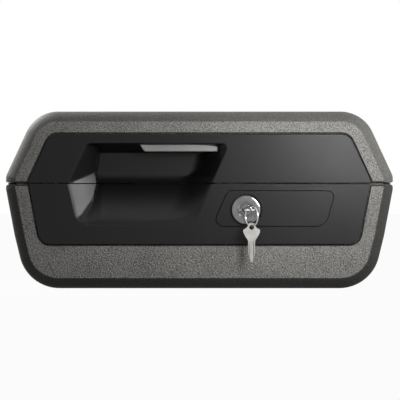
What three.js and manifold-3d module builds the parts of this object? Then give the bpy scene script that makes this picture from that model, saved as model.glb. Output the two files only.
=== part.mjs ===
// Small fire-resistant chest with a key lock: a deep base and a deep lid that meet at a level seam
// and hinge along the back. Millimetres. The origin is the middle of the underside, the front faces
// -Y, +X is to the right of someone who faces the front, and +Z is up.

import * as THREE from 'three';
import { mergeVertices } from 'three/addons/utils/BufferGeometryUtils.js';
import Module from 'manifold-3d';

const wasm = await Module();
wasm.setup();

// Outer case
const caseWidth = 362;
const caseDepth = 330;
const seamHeight = 98;
const lidHeight = 67.4;
const seamGap = 2;
const sideBandHeight = 7;
const bottomTaper = 19;
const topTaper = 28;
const bottomCornerRadius = 32;
const topCornerRadius = 33;
const bandEdgeRadius = 10;
const seamEdgeRadius = 3;
const edgeRoundWidth = 9;
const edgeRoundDepth = 10;
const edgeCrease = THREE.MathUtils.degToRad(38);
const shellWall = 3;
const tongueInset = 1.4;

// Clearances
const fitGap = 0.3;
const runningGap = 0.1;
const grooveWidth = 0.8;
const overrun = 5;
const leastRadius = 0.4;

// Front panel
const panelInset = 20.6;
const panelFootShare = 0.4122;
const panelCornerRadius = 12;
const panelThickness = 4;
const panelEdge = 0.8;
const panelSeamGap = 1;

// Hand recess: the mouth in the front face
const mouthTopShare = 0.5549;
const mouthDrop = 39.3;
const mouthTopLeft = -104.6;
const mouthTopRight = 27.9;
const mouthSeamLeft = -123.3;
const mouthBottomLeft = -113.9;
const mouthBottomRight = -5.9;
const mouthTopRadius = 7;
const mouthBottomRadius = 13;

// Hand recess: the grip panel at its back and the ramp that runs down from it
const gripDepth = 33;
const gripTopShare = 0.4481;
const gripBottomShare = 0.089;
const gripLeft = -97;
const gripTopRight = 2;
const gripBottomRight = -6;
const gripRound = 7;
const rampTopRight = -13;
const rampBottomRight = -16;
const kneeShare = 0.1632;
const kneeLeft = -98.6;
const gripCornerRadius = 5;
const rampCornerRadius = 10;
const rampLeadIn = 6;
const recessWall = 2.5;

// Storage space and rims
const storageSideWall = 28.5;
const storageFrontWall = 67;
const storageBackWall = 34;
const storageFloor = 32;
const storageCeilingShare = 0.3858;
const storageCornerRadius = 14;
const linerWall = 2;
const rimThickness = 4;

// Rim seal
const sealOffset = 6;
const sealWidth = 5;
const sealLipWidth = 3.2;
const sealGrooveDepth = 2.6;
const sealShoulder = 0.6;

// Hinges
const hingeSpread = 95;
const hingeStandoff = 7;
const knuckleRadius = 6;
const lidKnuckleWidth = 24;
const baseKnuckleWidth = 14;
const knuckleGap = 0.6;
const knuckleArm = 20;
const knuckleRoot = 6;
const hingePinRadius = 2.5;
const hingePinHeadRadius = 4;
const hingePinHead = 1.6;

// Fill plugs
const plugRadius = 15.7;
const plugNeckRadius = 12.7;
const plugHead = 1.2;
const basePlugY = 40;
const lidPlugY = 16;

// Lock plate
const lockPlateDrop = 6.5;
const lockPlateHeight = 33.9;
const lockPlateTopLeft = 26.2;
const lockPlateTopRight = 127.1;
const lockPlateBottomLeft = 11.1;
const lockPlateBottomRight = 117.6;
const lockPlateTopRadius = 4;
const lockPlateLowLeftRadius = 5;
const lockPlateLowRightRadius = 8;
const lockPlateThickness = 2.2;
const lockPlateGroove = 0.5;

// Lock
const lockX = 43.4;
const lockDrop = 24.6;
const lockSinkRadius = 14.75;
const lockSinkDepth = 1.6;
const lockFlangeRadius = 13.2;
const lockFlangeThickness = 4.3;
const lockFlangeEdge = 1.4;
const lockBarrelRadius = 9.5;
const lockBarrelLength = 17;
const lockHoleGap = 0.4;
const plugBodyRadius = 5.5;
const plugBossProud = 1.6;
const plugBossEdge = 0.6;
const plugTailWidth = 5;
const plugTailLength = 4;
const keywayWidth = 7.5;
const keywayHeight = 2.6;
const nutFlats = 24;
const nutThickness = 4.5;

// Lock cam
const camLength = 18.5;
const camWidth = 9;
const camHubRadius = 7;
const camThickness = 2;
const camScrewHeadRadius = 4.2;
const camScrewHead = 2;
const camScrewRadius = 1.4;
const camScrewLength = 3.6;

// Striker on the lid that the cam locks over
const strikerWidth = 8;
const strikerThickness = 2;
const strikerHook = 11;
const strikerFoot = 31;
const strikerScrewSpacing = 15;
const strikerClearance = 1.8;

// Chamber in the base behind the lock
const chamberLeft = 26;
const chamberRight = 78;
const chamberDepth = 29;
const chamberDrop = 25.4;
const strikerSlotSide = 3;
const strikerSlotFront = 4;

// Screws
const screwHeadRadius = 3.4;
const screwHead = 1.6;
const screwRadius = 1.6;
const screwLength = 9;
const screwHoleGap = 0.2;

// Keys
const keyThickness = 1.8;
const keyHoleRadius = 2.4;
const keyTabHeight = 3.9;
const keyTabHalfWidth = 2.9;
const keyBowHalfWidth = 7.75;
const keyBowDrop = 2.4;
const keyShoulderDrop = 11.7;
const keyBladeHalfWidth = 3.45;
const keyBladeEnd = 25;
const keyTipDrop = 32.3;
const keyTipHalfWidth = 1.1;
const keyFlute = 0.45;
const keyFluteHalfWidth = 0.55;
const keyFluteOffset = 1.9;
const keyBowRound = 2;

// Key ring
const ringRadius = 9.5;
const ringWireRadius = 0.7;
const ringTurn = THREE.MathUtils.degToRad(35);
const ringDrop = 5.6;
const spareKeyDrop = 0.8;

// Release paddle under the upper lip of the recess
const paddleLeft = -56;
const paddleRight = 17;
const paddleFront = 6.5;
const paddleShoulder = 10.5;
const paddleBack = 27;
const paddleBackLeft = -52;
const paddleBackRight = 3.5;
const paddleCornerRadius = 1.5;
const paddleRoundRadius = 5;
const paddleFaceHeight = 6;
const paddleFootLean = 4.1;
const paddleFaceLean = 2;
const paddleDrop = 0.2;
const paddleEdge = 0.6;
const paddleFlange = 1.6;
const paddleFlangeThickness = 1.5;
const paddleTravel = 3;
const paddleGap = 0.5;

// Latch inside the lid
const latchX = -19.5;
const latchPinDepth = 46;
const latchPinRise = 4.9;
const latchPinRadius = 2;
const hookWidth = 12;
const hookEyeRadius = 4.5;
const hookShankFront = 1.5;
const hookShankBack = 1;
const hookNoseReach = 7.3;
const hookNoseHeight = 1.6;
const hookNoseDrop = 5.4;
const hookArm = 32.5;
const hookArmThickness = 3;
const latchPostWidth = 8;
const latchPostDepth = 2.5;

// Bracket that carries the latch
const bracketThickness = 1.6;
const bracketLeft = 42;
const bracketRight = 42;
const bracketFrontDepth = 10;
const bracketBackDepth = 55;
const bracketRise = 11;
const cheekGap = 0.4;
const cheekDrop = 16;
const cheekHalfDepth = 6;
const bossRadius = 5;
const bossX = 36;
const bossDepth = 39;
const bracketScrewShare = 0.7;

// Paddle springs
const springRadius = 3.2;
const springWireRadius = 0.45;
const springTurns = 6;
const springX = 24;
const springDepth = 19;
const springStubRadius = 2.2;
const springStub = 3;

// Strike plate on the base
const strikeHalfWidth = 20;
const strikeFrontDepth = 35.5;
const strikeBackDepth = 57;
const strikeThickness = 2;
const windowHalfWidth = 8;
const windowFrontDepth = 38;
const windowBackDepth = 51;
const strikeScrewX = 14.5;
const hookWellDepth = 15;

// Curve resolution
const cornerSteps = 6;
const smallCornerSteps = 2;
const bendSteps = 5;
const edgeRoundSteps = 4;
const innerRoundSteps = 2;
const rampRings = 12;
const ceilingRings = 4;
const kneeEnd = 0.06;
const kneeMiddle = 0.5;
const roundSides = 32;
const smallSides = 16;
const springSides = 5;
const springSteps = 8;

// Places that follow from the sizes above
const frontY = -caseDepth / 2;
const backY = caseDepth / 2;
const halfWidth = caseWidth / 2;
const caseHeight = seamHeight + lidHeight;
const baseTop = seamHeight - seamGap / 2;
const lidBottom = seamHeight + seamGap / 2;
const panelBackY = frontY + panelThickness;
const pocketFloorY = panelBackY + fitGap;
const frontWallY = pocketFloorY + shellWall;
const hingeY = backY + hingeStandoff;
const quarterTurn = Math.PI / 2;
const panelBottom = seamHeight * panelFootShare;
const mouthTop = seamHeight + lidHeight * mouthTopShare;
const mouthBottom = seamHeight - mouthDrop;
const gripTop = seamHeight + lidHeight * gripTopShare;
const gripBottom = seamHeight + lidHeight * gripBottomShare;
const kneeZ = seamHeight + lidHeight * kneeShare;
const storageWidth = caseWidth - 2 * storageSideWall;
const storageFront = frontY + storageFrontWall;
const storageBack = backY - storageBackWall;
const storageCeiling = seamHeight + lidHeight * storageCeilingShare;
const lockPlateTop = seamHeight - lockPlateDrop;
const lockPlateBottom = lockPlateTop - lockPlateHeight;
const lockZ = seamHeight - lockDrop;
const chamberBack = frontY + chamberDepth;
const chamberFloor = lockZ - chamberDrop;
const hookWellFloor = baseTop - hookWellDepth;
const latchPinY = frontY + latchPinDepth;
const bracketFront = frontY + bracketFrontDepth;
const bracketBack = frontY + bracketBackDepth;
const bossY = frontY + bossDepth;
const springY = frontY + springDepth;
const strikeFront = frontY + strikeFrontDepth;
const strikeBack = frontY + strikeBackDepth;
const windowFront = frontY + windowFrontDepth;
const windowBack = frontY + windowBackDepth;
const ceilingWall = recessWall * (1 + (mouthTop - gripTop) / gripDepth);
const paddleTopDepth = ceilingWall + fitGap + paddleFlangeThickness;
const springFootZ = ceilingAt(springDepth) + paddleTopDepth;
const latchPinZ = springFootZ + latchPinRise;
const bracketHeight = latchPinZ + bracketRise;

// Shape helpers

function steps(from, to, count) {
  return [...Array(count + 1).keys()].map((k) => from + ((to - from) * k) / count);
}

function corner(x, z, radius, count = cornerSteps) {
  return { at: new THREE.Vector2(x, z), radius, count };
}

function neighbours(corners, i) {
  const before = corners[(i + corners.length - 1) % corners.length].at;
  const after = corners[(i + 1) % corners.length].at;
  return [before, after];
}

// A convex outline, anticlockwise, with every edge moved inward by one distance.
function inset(corners, distance) {
  return corners.map(({ at, radius, count }, i) => {
    const [before, after] = neighbours(corners, i);
    const inA = at.clone().sub(before).normalize().rotateAround(new THREE.Vector2(), quarterTurn);
    const inB = after.clone().sub(at).normalize().rotateAround(new THREE.Vector2(), quarterTurn);
    const shift = inA.clone().add(inB).multiplyScalar(distance / (1 + inA.dot(inB)));
    const moved = at.clone().add(shift);
    return corner(moved.x, moved.y, Math.max(radius - distance, leastRadius), count);
  });
}

// The outline's points, each corner rounded by an arc of its own radius.
function rounded(corners) {
  return corners.flatMap(({ at, radius, count }, i) => {
    const [before, after] = neighbours(corners, i);
    const a = before.clone().sub(at).normalize();
    const b = after.clone().sub(at).normalize();
    const half = Math.acos(a.dot(b)) / 2;
    const middle = at.clone().add(a.clone().add(b).setLength(radius / Math.sin(half)));
    const from = at.clone().addScaledVector(a, radius / Math.tan(half)).sub(middle);
    const sweep = Math.PI - 2 * half;
    return steps(0, sweep, count).map((turn) =>
      from.clone().rotateAround(new THREE.Vector2(), turn).add(middle));
  });
}

function rectangle(x0, x1, y0, y1, radius, count) {
  const places = [[x0, y0], [x1, y0], [x1, y1], [x0, y1]];
  return places.map(([x, y]) => corner(x, y, radius, count));
}

function circle(x, y, radius, sides = roundSides) {
  return steps(0, 2 * Math.PI, sides).slice(0, sides).map((turn) =>
    new THREE.Vector2(x + radius * Math.cos(turn), y + radius * Math.sin(turn)));
}

// Closed geometry through convex rings that all have the same number of points.
function loft(rings) {
  const count = rings[0].length;
  const last = (rings.length - 1) * count;
  const index = [];
  for (let r = 0; r < rings.length - 1; r += 1) {
    for (let i = 0; i < count; i += 1) {
      const a = r * count + i;
      const b = r * count + ((i + 1) % count);
      index.push(a, b, b + count, a, b + count, a + count);
    }
  }
  for (let i = 1; i < count - 1; i += 1) {
    index.push(0, i + 1, i, last, last + i, last + i + 1);
  }
  const geometry = new THREE.BufferGeometry().setFromPoints(rings.flat());
  geometry.setIndex(index);
  return geometry;
}

function signedVolume(geometry) {
  const { position } = geometry.attributes;
  const { array } = geometry.index;
  const [a, b, c] = [new THREE.Vector3(), new THREE.Vector3(), new THREE.Vector3()];
  let volume = 0;
  for (let i = 0; i < array.length; i += 3) {
    a.fromBufferAttribute(position, array[i]);
    b.fromBufferAttribute(position, array[i + 1]);
    c.fromBufferAttribute(position, array[i + 2]);
    volume += a.dot(b.cross(c)) / 6;
  }
  return volume;
}

// A solid that can be joined and cut, from a closed geometry.
function solid(geometry) {
  const bare = geometry.clone();
  bare.deleteAttribute('normal');
  bare.deleteAttribute('uv');
  const merged = mergeVertices(bare);
  const triVerts = new Uint32Array(merged.index.array);
  if (signedVolume(merged) < 0) {
    triVerts.reverse();
  }
  const vertProperties = new Float32Array(merged.attributes.position.array);
  return new wasm.Manifold(new wasm.Mesh({ numProp: 3, vertProperties, triVerts }));
}

function geometryOf(body) {
  const mesh = body.getMesh();
  const geometry = new THREE.BufferGeometry();
  geometry.setAttribute('position', new THREE.BufferAttribute(mesh.vertProperties, 3));
  geometry.setIndex(new THREE.BufferAttribute(mesh.triVerts, 1));
  geometry.computeVertexNormals();
  return geometry;
}

function box(x0, x1, y0, y1, z0, z1) {
  const geometry = new THREE.BoxGeometry(x1 - x0, y1 - y0, z1 - z0);
  return solid(geometry.translate((x0 + x1) / 2, (y0 + y1) / 2, (z0 + z1) / 2));
}

function extruded(points, from, to, holes = []) {
  const shape = new THREE.Shape(points);
  shape.holes = holes.map((hole) => new THREE.Path(hole));
  const geometry = new THREE.ExtrudeGeometry(shape, { depth: to - from, bevelEnabled: false });
  return geometry.translate(0, 0, from);
}

// An outline in X and Z, carried along Y.
function alongY(points, y0, y1, holes) {
  return solid(extruded(points, -y1, -y0, holes).rotateX(quarterTurn));
}

// An outline in X and Y, carried along Z.
function alongZ(points, z0, z1, holes) {
  return solid(extruded(points, z0, z1, holes));
}

// An outline in Y and Z, carried along X.
function alongX(points, x0, x1, holes) {
  const turn = new THREE.Matrix4().makeBasis(
    new THREE.Vector3(0, 1, 0), new THREE.Vector3(0, 0, 1), new THREE.Vector3(1, 0, 0));
  return solid(extruded(points, x0, x1, holes).applyMatrix4(turn));
}

// A body turned about a line parallel to Y, from a closed profile of radius and Y.
function turnedAboutY(profile, x, z, sides = roundSides) {
  const points = profile.map(([radius, y]) => new THREE.Vector2(radius, y));
  return solid(new THREE.LatheGeometry(points, sides).translate(x, 0, z));
}

// Outer case

const caseCorners = [
  corner(-halfWidth + bottomTaper, 0, bottomCornerRadius),
  corner(halfWidth - bottomTaper, 0, bottomCornerRadius),
  corner(halfWidth, seamHeight, seamEdgeRadius, 1),
  corner(halfWidth, seamHeight + sideBandHeight, bandEdgeRadius, smallCornerSteps),
  corner(halfWidth - topTaper, caseHeight, topCornerRadius),
  corner(-halfWidth + topTaper, caseHeight, topCornerRadius),
  corner(-halfWidth, seamHeight + sideBandHeight, bandEdgeRadius, smallCornerSteps),
  corner(-halfWidth, seamHeight, seamEdgeRadius, 1),
];

// The case's block between two faces, drawn in all round by an offset. Each face ends at a crease,
// from which the edge rounds over to the sides.
function caseBlock(offset, front, back, roundSteps = innerRoundSteps) {
  const turns = steps(edgeCrease, quarterTurn, roundSteps);
  const span = 1 - Math.sin(edgeCrease);
  const ring = (turn, y) => {
    const outline = rounded(inset(caseCorners, offset + (edgeRoundWidth * (1 - Math.sin(turn))) / span));
    return outline.map((point) => new THREE.Vector3(point.x, y, point.y));
  };
  const depth = (turn) => edgeRoundDepth * (1 - Math.cos(turn) / Math.cos(edgeCrease));
  return solid(loft([
    ...turns.map((turn) => ring(turn, front + depth(turn))),
    ...turns.toReversed().map((turn) => ring(turn, back - depth(turn))),
  ]));
}

function below(z) {
  return box(-caseWidth, caseWidth, -caseDepth, caseDepth, -caseHeight, z);
}

function above(z) {
  return box(-caseWidth, caseWidth, -caseDepth, caseDepth, z, 2 * caseHeight);
}

// Front panel outline: the case outline drawn in, with one corner a side at the widest place, and
// cut level at its foot.
function panelCorners(gap) {
  const drawn = inset(caseCorners, panelInset + gap);
  const foot = panelBottom + gap;
  const side = drawn[2].at.clone().sub(drawn[1].at);
  const footX = drawn[2].at.x - (side.x / side.y) * (drawn[2].at.y - foot);
  return [
    corner(-footX, foot, panelCornerRadius - gap),
    corner(footX, foot, panelCornerRadius - gap),
    ...drawn.slice(3, 7),
  ];
}

// Hand recess

const mouthOutline = rounded([
  corner(mouthBottomLeft, mouthBottom, mouthBottomRadius),
  corner(mouthBottomRight, mouthBottom, mouthBottomRadius),
  corner(mouthTopRight, mouthTop, mouthTopRadius),
  corner(mouthTopLeft, mouthTop, mouthTopRadius),
  corner(mouthSeamLeft, seamHeight, leastRadius, 1),
]);

// Left and right ends of a level line across an outline.
function spanAt(outline, z) {
  const crossings = [];
  outline.forEach((a, i) => {
    const b = outline[(i + 1) % outline.length];
    const low = Math.min(a.y, b.y);
    const high = Math.max(a.y, b.y);
    if (low <= z && z <= high && high > low) {
      crossings.push(a.x + ((b.x - a.x) * (z - a.y)) / (b.y - a.y));
    }
  });
  return [Math.min(...crossings), Math.max(...crossings)];
}

function mix(a, b, share) {
  return a + (b - a) * share;
}

// How deep the recess is at a height: a ramp that leaves the front face smoothly, the upright grip
// panel, then a ceiling that rises to the lip.
function recessDepth(z) {
  if (z > gripTop) {
    return (gripDepth * (mouthTop - z)) / (mouthTop - gripTop);
  }
  const run = gripBottom - mouthBottom;
  const climb = Math.min(z, gripBottom) - mouthBottom;
  const slope = Math.sqrt((gripDepth + rampLeadIn) ** 2 - rampLeadIn ** 2) / run;
  return Math.max(Math.sqrt((slope * climb) ** 2 + rampLeadIn ** 2) - rampLeadIn, leastRadius / 2);
}

// Left end of the recess's back below the knee: on a flat facet through the mouth's lower left edge
// and the knee.
function lowerFacetLeft(z) {
  const share = recessDepth(z) / gripDepth;
  const drop = (seamHeight + share * (kneeZ - seamHeight) - z) / mouthDrop;
  return mix(mouthSeamLeft, mouthBottomLeft, drop) + share * (kneeLeft - mouthSeamLeft);
}

// Right end of the grip panel at a height, its lower corner rounded.
function gripRight(z) {
  const rise = z - gripBottom;
  const missing = Math.max(gripRound - rise, 0);
  const pull = gripRound - Math.sqrt(gripRound ** 2 - missing ** 2);
  return mix(gripBottomRight, gripTopRight, rise / (gripTop - gripBottom)) - pull;
}

// Left and right ends of the recess's back at a height.
function recessBack(z) {
  const [left, right] = spanAt(mouthOutline, z);
  if (z > gripTop) {
    const share = recessDepth(z) / gripDepth;
    return [mix(left, gripLeft, share), mix(right, gripTopRight, share)];
  }
  const backLeft = z > kneeZ
    ? mix(kneeLeft, gripLeft, (z - kneeZ) / (gripTop - kneeZ))
    : Math.max(lowerFacetLeft(z), left + leastRadius);
  if (z > gripBottom) {
    return [backLeft, gripRight(z)];
  }
  const share = (gripBottom - z) / (gripBottom - mouthBottom);
  return [backLeft, mix(rampTopRight, rampBottomRight, share)];
}

// Where the left side's upper facet meets its lower one at a height, as X and depth.
function kneeAt(z, left, backLeft) {
  const depth = recessDepth(z);
  const rise = (z - seamHeight) / (kneeZ - seamHeight);
  const share = rise < 0 || rise > 1 ? kneeMiddle : THREE.MathUtils.clamp(rise, kneeEnd, 1 - kneeEnd);
  if (z > seamHeight && z < kneeZ && share * gripDepth < depth) {
    return [mix(mouthSeamLeft, kneeLeft, share), share * gripDepth];
  }
  return [mix(left, backLeft, share), share * depth];
}

// One level ring of the recess, grown outward by a wall, with soft corners at the back.
function recessRing(z, wall, front) {
  const [left, right] = spanAt(mouthOutline, z);
  const [backLeft, backRight] = recessBack(z);
  const y = frontY + recessDepth(z) + wall;
  const rise = wall * THREE.MathUtils.clamp((z - gripBottom) / (gripTop - gripBottom), 0, 1);
  const softness = z > kneeZ ? gripCornerRadius : rampCornerRadius;
  const points = [];
  const add = (x, depth) => points.push(new THREE.Vector3(x, depth, z + rise));
  add(left - wall, front);
  add(right + wall, front);
  add(right + wall, frontY + wall);
  const bend = (wallX, wallY, cornerX, nextX) => {
    const into = new THREE.Vector2(wallX - cornerX, wallY - y);
    const out = new THREE.Vector2(nextX - cornerX, 0);
    const reach = Math.min(softness, into.length() / 2, out.length() / 2);
    const elbow = new THREE.Vector2(cornerX, y);
    const start = elbow.clone().add(into.setLength(reach));
    const end = elbow.clone().add(out.setLength(reach));
    return new THREE.QuadraticBezierCurve(start, elbow, end).getPoints(bendSteps);
  };
  const [kneeX, kneeDepth] = kneeAt(z, left, backLeft);
  const kneeY = frontY + kneeDepth + wall;
  bend(right + wall, frontY + wall, backRight + wall, backLeft - wall).forEach((p) => add(p.x, p.y));
  bend(kneeX - wall, kneeY, backLeft - wall, backRight + wall).toReversed().forEach((p) => add(p.x, p.y));
  add(kneeX - wall, kneeY);
  add(left - wall, frontY + wall);
  return points;
}

function recessBlock(wall, front) {
  const edge = leastRadius / 4;
  const heights = [
    ...steps(mouthBottom + edge, seamHeight, rampRings),
    ...steps(seamHeight, gripBottom, 2).slice(1),
    ...steps(gripBottom, kneeZ, 3).slice(1),
    ...steps(kneeZ, gripTop, 2).slice(1),
    ...steps(gripTop, mouthTop - edge, ceilingRings).slice(1),
  ];
  return solid(loft(heights.map((z) => recessRing(z, wall, front))));
}

const recessCutter = recessBlock(0, frontY - overrun);
const recessEnvelope = recessBlock(recessWall, frontY + panelEdge);
const recessClearance = recessBlock(recessWall + lockHoleGap, frontY - overrun);

// Height of the recess's sloping ceiling at a distance behind the front face.
function ceilingAt(depth) {
  return mouthTop - ((mouthTop - gripTop) * depth) / gripDepth;
}

// Release paddle outline in X and Y, behind the lip, grown by a margin and leaning in at its foot.
function paddleCorners(margin, lean = 0) {
  const faceY = frontY + paddleFront + paddleFaceLean * lean;
  const inward = paddleFootLean * lean;
  return inset([
    corner(paddleLeft + inward, faceY, paddleCornerRadius, smallCornerSteps),
    corner(paddleRight, faceY, paddleCornerRadius, smallCornerSteps),
    corner(paddleRight, frontY + paddleShoulder, paddleCornerRadius, smallCornerSteps),
    corner(paddleBackRight, frontY + paddleBack, paddleCornerRadius, smallCornerSteps),
    corner(paddleBackLeft + inward / 2, frontY + paddleBack, paddleCornerRadius, smallCornerSteps),
  ], -margin);
}

// A body between paddle outlines, each at its own height above the floor at every depth.
function paddleBody(layers) {
  return solid(loft(layers.map(([corners, heightAt]) => rounded(corners).map((point) =>
    new THREE.Vector3(point.x, point.y, heightAt(point.y - frontY))))));
}

// The paddle's face seen from the front, its upper right corner well rounded, and the neck above it.
function paddleFace(foot) {
  const top = foot + paddleFaceHeight;
  const face = rounded([
    corner(-halfWidth, foot, leastRadius, 1), corner(paddleRight, foot, leastRadius, 1),
    corner(paddleRight, top, paddleRoundRadius), corner(-halfWidth, top, leastRadius, 1),
  ]);
  const neck = box(-halfWidth, paddleRight - paddleRoundRadius, frontY, 0, foot, caseHeight);
  return alongY(face, frontY, 0).add(neck);
}

// Hinge knuckle: a barrel on an arm that runs into the back wall, above or below the axis.
function knuckle(x, width, side) {
  const barrel = steps(0, Math.PI, smallSides / 2).map((turn) => new THREE.Vector2(
    hingeY + knuckleRadius * Math.cos(turn), seamHeight - side * knuckleRadius * Math.sin(turn)));
  const wallY = backY - shellWall / 2;
  const outline = [
    ...barrel,
    new THREE.Vector2(wallY, seamHeight + side * knuckleRoot),
    new THREE.Vector2(wallY, seamHeight + side * knuckleArm),
  ];
  const points = side > 0 ? outline.toReversed() : outline;
  return alongX(points, x - width / 2, x + width / 2);
}

function hingeBore() {
  return alongX(circle(hingeY, seamHeight, hingePinRadius + runningGap, smallSides), -caseWidth, caseWidth);
}

function knucklesOfBase() {
  const offset = (lidKnuckleWidth + baseKnuckleWidth) / 2 + knuckleGap;
  return [-hingeSpread, hingeSpread].flatMap((x) =>
    [knuckle(x - offset, baseKnuckleWidth, -1), knuckle(x + offset, baseKnuckleWidth, -1)]);
}

function knucklesOfLid() {
  return [-hingeSpread, hingeSpread].map((x) => knuckle(x, lidKnuckleWidth, 1));
}

function hingePin(x) {
  const reach = lidKnuckleWidth / 2 + baseKnuckleWidth + knuckleGap + fitGap;
  const shaft = alongX(circle(hingeY, seamHeight, hingePinRadius, smallSides), x - reach, x + reach);
  const head = alongX(circle(hingeY, seamHeight, hingePinHeadRadius, smallSides),
    x - reach - hingePinHead, x - reach);
  return shaft.add(head);
}

// Shells

function join(first, ...others) {
  return others.reduce((sum, other) => sum.add(other), first);
}

function cut(body, ...cutters) {
  return cutters.reduce((rest, cutter) => rest.subtract(cutter), body);
}

function hollowCase() {
  const outer = caseBlock(0, frontY, backY, edgeRoundSteps);
  const inner = caseBlock(shellWall, frontWallY, backY - shellWall);
  const pocket = alongY(rounded(panelCorners(0)), frontY - overrun, pocketFloorY);
  return cut(outer, inner, pocket, recessClearance);
}

// Thin lip on the base's rim, inside the lid's edge, that closes the seam to the eye.
function seamTongue() {
  const outer = caseBlock(tongueInset, frontWallY - shellWall + tongueInset, backY - tongueInset);
  const inner = caseBlock(shellWall, frontWallY, backY - shellWall);
  const ring = outer.intersect(above(baseTop - shellWall)).intersect(below(lidBottom - fitGap));
  return cut(ring, inner, recessClearance);
}

function lockBore(gap) {
  return alongY(circle(lockX, lockZ, lockBarrelRadius + gap), frontY - overrun, chamberBack);
}

function baseShell() {
  const half = hollowCase().intersect(below(baseTop));
  const sink = alongZ(circle(0, basePlugY, plugRadius + fitGap), -overrun, plugHead + fitGap);
  const hole = alongZ(circle(0, basePlugY, plugNeckRadius + fitGap), -overrun, shellWall + overrun);
  const body = join(half, seamTongue(), ...knucklesOfBase());
  return cut(body, hingeBore(), sink, hole, lockBore(lockHoleGap));
}

function lidShell() {
  const half = hollowCase().intersect(above(lidBottom));
  const bosses = [-bossX, bossX].map((x) => alongZ(circle(latchX + x, bossY, bossRadius, smallSides),
    bracketHeight + bracketThickness + fitGap, caseHeight - shellWall / 2));
  const bores = [-bossX, bossX].map((x) => alongZ(
    circle(latchX + x, bossY, screwRadius + screwHoleGap, smallSides),
    bracketHeight, caseHeight - shellWall));
  const well = box(paddleLeft - paddleFlange - overrun, paddleRight + paddleFlange + overrun,
    pocketFloorY - fitGap, frontWallY + overrun, gripTop, mouthTop + paddleTravel + overrun);
  return cut(join(half, ...knucklesOfLid(), ...bosses), hingeBore(), well, ...bores);
}

// Plugs that close the holes where the fill is poured

function fillPlug(y, z, side) {
  const head = alongZ(circle(0, y, plugRadius), ...[z, z + side * plugHead].sort((a, b) => a - b));
  const ends = [z, z + side * (shellWall - fitGap)].sort((a, b) => a - b);
  return head.add(alongZ(circle(0, y, plugNeckRadius), ...ends));
}

// Liners

function storageOutline(margin) {
  const half = storageWidth / 2 + margin;
  const radius = storageCornerRadius + margin;
  return rounded(rectangle(-half, half, storageFront - margin, storageBack + margin, radius));
}

function rim(z0, z1) {
  const plate = caseBlock(shellWall + fitGap, frontWallY + fitGap, backY - shellWall - fitGap);
  return cut(plate.intersect(below(z1)).intersect(above(z0)), recessClearance);
}

function sealOutline(width) {
  return [storageOutline(sealOffset + width / 2), storageOutline(sealOffset - width / 2)];
}

function hookWell(gap) {
  return box(latchX - windowHalfWidth - gap, latchX + windowHalfWidth + gap,
    windowFront - gap, strikeBack - gap, hookWellFloor, baseTop + overrun);
}

function strikerSlot(z0) {
  const stem = strikerStemX();
  return box(stem - strikerHook - strikerSlotSide, stem + strikerThickness + strikerSlotSide,
    strikerY - strikerWidth / 2 - strikerSlotFront, strikerY + strikerWidth / 2 + strikerSlotSide,
    z0, baseTop + overrun);
}

function baseLiner() {
  const tub = alongZ(storageOutline(linerWall), storageFloor - linerWall, baseTop);
  const plate = rim(baseTop - rimThickness, baseTop);
  const storage = alongZ(storageOutline(0), storageFloor, baseTop + overrun);
  const [outer, inner] = sealOutline(sealWidth + 2 * fitGap);
  const groove = alongZ(outer, baseTop - sealGrooveDepth, baseTop + overrun, [inner]);
  const strikeRecess = box(latchX - strikeHalfWidth - fitGap, latchX + strikeHalfWidth + fitGap,
    strikeFront - fitGap, strikeBack + fitGap, baseTop - strikeThickness - fitGap, baseTop + overrun);
  const screws = [-strikeScrewX, strikeScrewX].map((x) => screwBore(latchX + x, strikeScrewY, baseTop));
  return cut(join(tub, plate), storage, groove, strikeRecess, hookWell(0),
    strikerSlot(chamberFloor), ...screws);
}

function lidLiner() {
  const tub = alongZ(storageOutline(linerWall), lidBottom, storageCeiling + linerWall);
  const plate = rim(lidBottom, lidBottom + rimThickness);
  const storage = alongZ(storageOutline(0), lidBottom - overrun, storageCeiling);
  const hole = alongZ(circle(0, lidPlugY, plugNeckRadius + fitGap), lidBottom, caseHeight);
  const hookSlot = box(latchX - windowHalfWidth, latchX + windowHalfWidth, windowFront,
    latchPinY + hookNoseReach + paddleFlange, lidBottom - overrun, lidBottom + rimThickness + overrun);
  const [left, right] = strikerFootEnds();
  const foot = box(left - fitGap, right + fitGap, strikerY - strikerWidth / 2 - fitGap,
    strikerY + strikerWidth / 2 + fitGap, lidBottom - overrun, lidBottom + strikerThickness + fitGap);
  const screws = strikerScrewPlaces().map((x) => screwBore(x, strikerY, lidBottom + screwLength));
  return cut(join(tub, plate), storage, hole, hookSlot, foot, ...screws);
}

// Cast fire-resistant fill

function fillBlock() {
  return cut(caseBlock(shellWall + fitGap, frontWallY + fitGap, backY - shellWall - fitGap), recessClearance);
}

function lockChamber() {
  return box(chamberLeft, chamberRight, frontY, chamberBack, chamberFloor, baseTop);
}

function baseFill() {
  const block = fillBlock().intersect(below(baseTop - rimThickness - fitGap));
  const tub = alongZ(storageOutline(linerWall + fitGap), storageFloor - linerWall - fitGap, caseHeight);
  const screws = [-strikeScrewX, strikeScrewX].map((x) => screwBore(latchX + x, strikeScrewY, baseTop));
  return cut(block, tub, lockChamber(), hookWell(0), ...screws);
}

function lidFill() {
  const block = fillBlock().intersect(above(lidBottom + rimThickness + fitGap));
  const tub = alongZ(storageOutline(linerWall + fitGap), 0, storageCeiling + linerWall + fitGap);
  const room = box(latchX - bracketLeft - fitGap, latchX + bracketRight + fitGap, frontY,
    bracketBack + overrun / 2, 0, bracketHeight + bracketThickness + fitGap);
  const bosses = [-bossX, bossX].map((x) =>
    alongZ(circle(latchX + x, bossY, bossRadius + fitGap, smallSides), bracketHeight, caseHeight));
  const screws = strikerScrewPlaces().map((x) => screwBore(x, strikerY, lidBottom + screwLength));
  return cut(block, tub, room, ...bosses, ...screws);
}

// Front panel halves, with the recess moulded into them

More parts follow.
